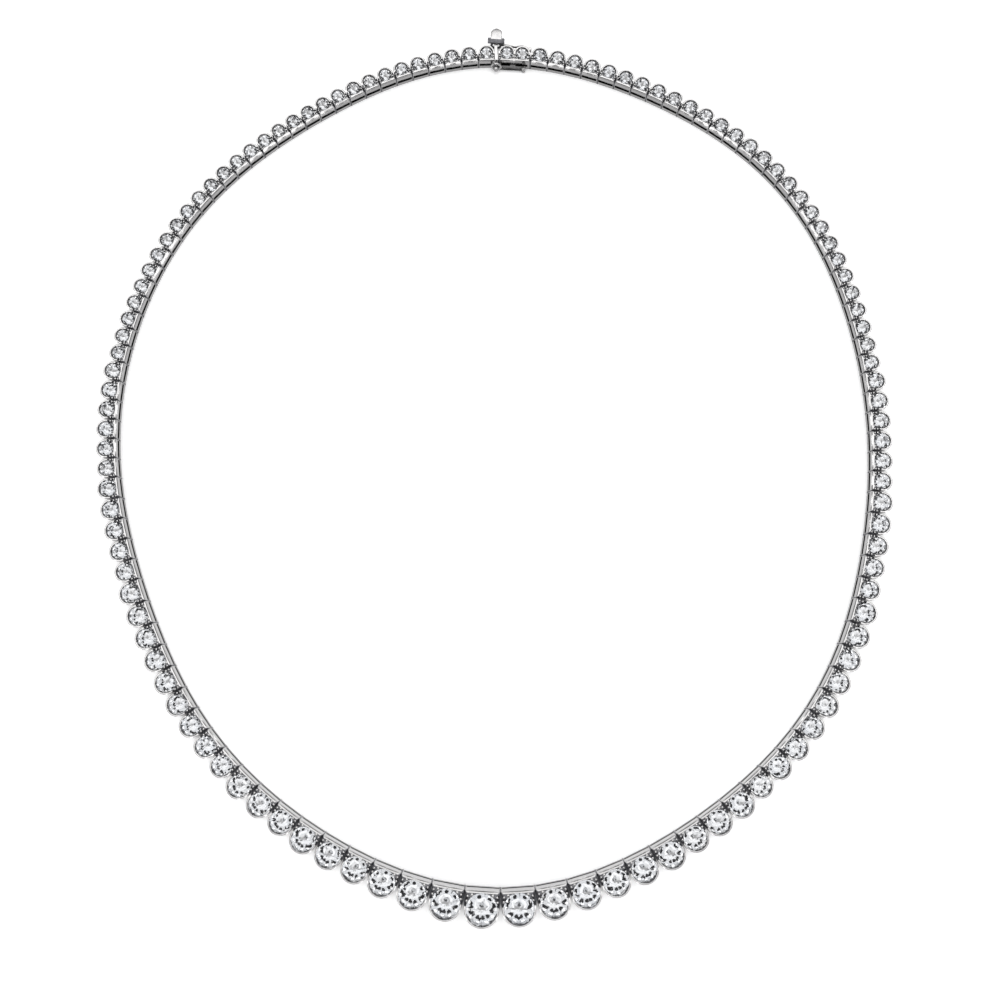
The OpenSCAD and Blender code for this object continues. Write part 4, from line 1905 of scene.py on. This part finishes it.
@dataclass(frozen=True)
class Studio:
    """Camera, lit sheet, an oval and a front softbox overhead, and a ring of low softboxes."""

    loop: Loop
    aim: tuple[float, float] = (0.344, -8.95)
    elevation: float = 81.5
    distance: float = 168.8
    focal_length: float = 36.0
    sensor: float = 36.0
    sweep_size: float = 2400.0
    ceiling: Softbox = Softbox("ceiling_softbox", LampShape.ELLIPSE, 740.0, 690.0, (0, 160, 540), 1.6)
    front: Softbox = Softbox("front_softbox", LampShape.RECTANGLE, 700.0, 140.0, (0, -255, 540), 1.1)
    ring: SoftboxRing = SoftboxRing()
    lens: LensFront = LensFront()
    ceiling_colour: str = "#747476"
    horizon_colour: str = "#444446"

    def build(self) -> None:
        """Builds the whole set."""
        self.build_camera()
        self.build_sweep()
        for lamp in (self.ceiling, self.front, self.ring):
            lamp.hang()
        self.build_world()
        bpy.context.scene.view_settings.view_transform = "Standard"

    def build_camera(self) -> None:
        """Places the camera at the photograph's angle."""
        data = bpy.data.cameras.new("camera")
        data.lens, data.sensor_width = self.focal_length, self.sensor
        data.clip_start, data.clip_end = 0.001, 20.0
        camera = link_object("camera", data)
        rise = math.radians(self.elevation)
        target = Vector((self.loop.centre[0] + self.aim[0], self.loop.centre[1] + self.aim[1], 0))
        away = Vector((0, -math.cos(rise), math.sin(rise)))
        camera.location = (target + away * self.distance) * MM
        camera.rotation_euler = (-away).to_track_quat("-Z", "Y").to_euler()
        bpy.context.scene.camera = camera
        self.lens.place(camera.location, target * MM)

    def build_sweep(self) -> None:
        """Lays the sheet that the necklace rests on."""
        half = self.sweep_size / 2 * MM
        mesh = bpy.data.meshes.new("sweep")
        corners = [(-half, -half, 0), (half, -half, 0), (half, half, 0), (-half, half, 0)]
        mesh.from_pydata(corners, [], [[0, 1, 2, 3]])
        mesh.materials.append(LitAcrylic().material())
        sweep = link_object("sweep", mesh)

    def build_world(self) -> None:
        """Sets the room: a grey ceiling over a dark horizon."""
        world = bpy.data.worlds.new("studio")
        world.use_nodes = True
        tree = world.node_tree
        place = add_node(tree, "ShaderNodeTexCoord")
        split = add_node(tree, "ShaderNodeSeparateXYZ", {}, {0: place.outputs["Generated"]})
        ramp = add_node(tree, "ShaderNodeValToRGB", {}, {"Fac": split.outputs["Z"]})
        stops = ((0.25, self.horizon_colour), (0.85, self.ceiling_colour))
        for element, (position, colour) in zip(ramp.color_ramp.elements, stops):
            element.position, element.color = position, linear(colour)
        tree.links.new(ramp.outputs["Color"], tree.nodes["Background"].inputs["Color"])
        bpy.context.scene.world = world


def dress(thing: bpy.types.Object, body: str, slot: str, *nodes: str) -> None:
    """Ties a finished piece to its body and hides the solids that it stands for.

    Args:
        thing: The piece.
        body: The body that it moves with.
        slot: The record's material slot. Not used.
        nodes: The solids that it replaces.
    """
    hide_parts(*nodes)
    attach(thing, body)
    LOG.info("%s: %d faces", thing.name, len(thing.data.polygons))


def main() -> None:
    """Builds the necklace and its set in order."""
    logging.basicConfig(level=logging.INFO, format="%(message)s")
    loop = Loop()
    Studio(loop).build()
    members = loop.members()
    following = {m.number: members[(m.number + 1) % len(members)] for m in members}
    links = [m for m in members if m.kind is MemberKind.LINK]
    centre = loop.link_count // 2
    platinum, diamond = PolishedPlatinum().material(), CutDiamond().material()
    # Near-black painted shade for the hollows, hinges, window reveals and the strip's sides.
    hollow = FiledPlatinumWithPaintedShade("painted_shade_platinum", "#252527", "#0C0C0D", 0.5).material()
    metals = [platinum, FiledPlatinumWithPaintedShade().material(), hollow]
    cuts = {cut: Brilliant(pavilion=cut.value).cut() for cut in Cut}
    halves = {
        "right": [m for m in links if m.number <= centre],
        "left": [m for m in links if m.number > centre],
    }
    for seed, (side, run) in enumerate(halves.items()):
        line = LinkLine(side, run, following)
        settings = (line.build_collets(metals), line.build_beads(platinum), line.build_hinges(hollow))
        for thing in settings:
            dress(thing, "necklace", "platinum", f"links_{side}")
        stones = StoneLine(f"brilliants_{side}", run, seed).build(cuts, diamond)
        dress(stones, "necklace", "diamond", f"stones_{side}")
    ends = [m for m in members if m.kind is not MemberKind.LINK]
    stones = StoneLine("brilliants_clasp", ends, 7).build(cuts, diamond)
    dress(stones, "necklace", "diamond", "clasp_stones")
    plan = ClaspPlan(members[0], members[-1])
    line = LinkLine("clasp", ends, following)
    box, tongue = ClaspBox(plan, line, members[1]), TongueLink(plan, line)
    for thing in (box.build_case(metals), box.build_fittings(platinum)):
        dress(thing, "necklace", "platinum", "clasp_box")
    for thing in (tongue.build_body(metals), tongue.build_fittings(platinum)):
        dress(thing, "necklace", "platinum", "tongue_link")
    for side in CatchSide:
        catch = SafetyCatch(plan, side).build(metals)
        dress(catch, f"{side.value}_catch", "platinum", f"{side.value}_catch")


if __name__ == "__main__":
    main()
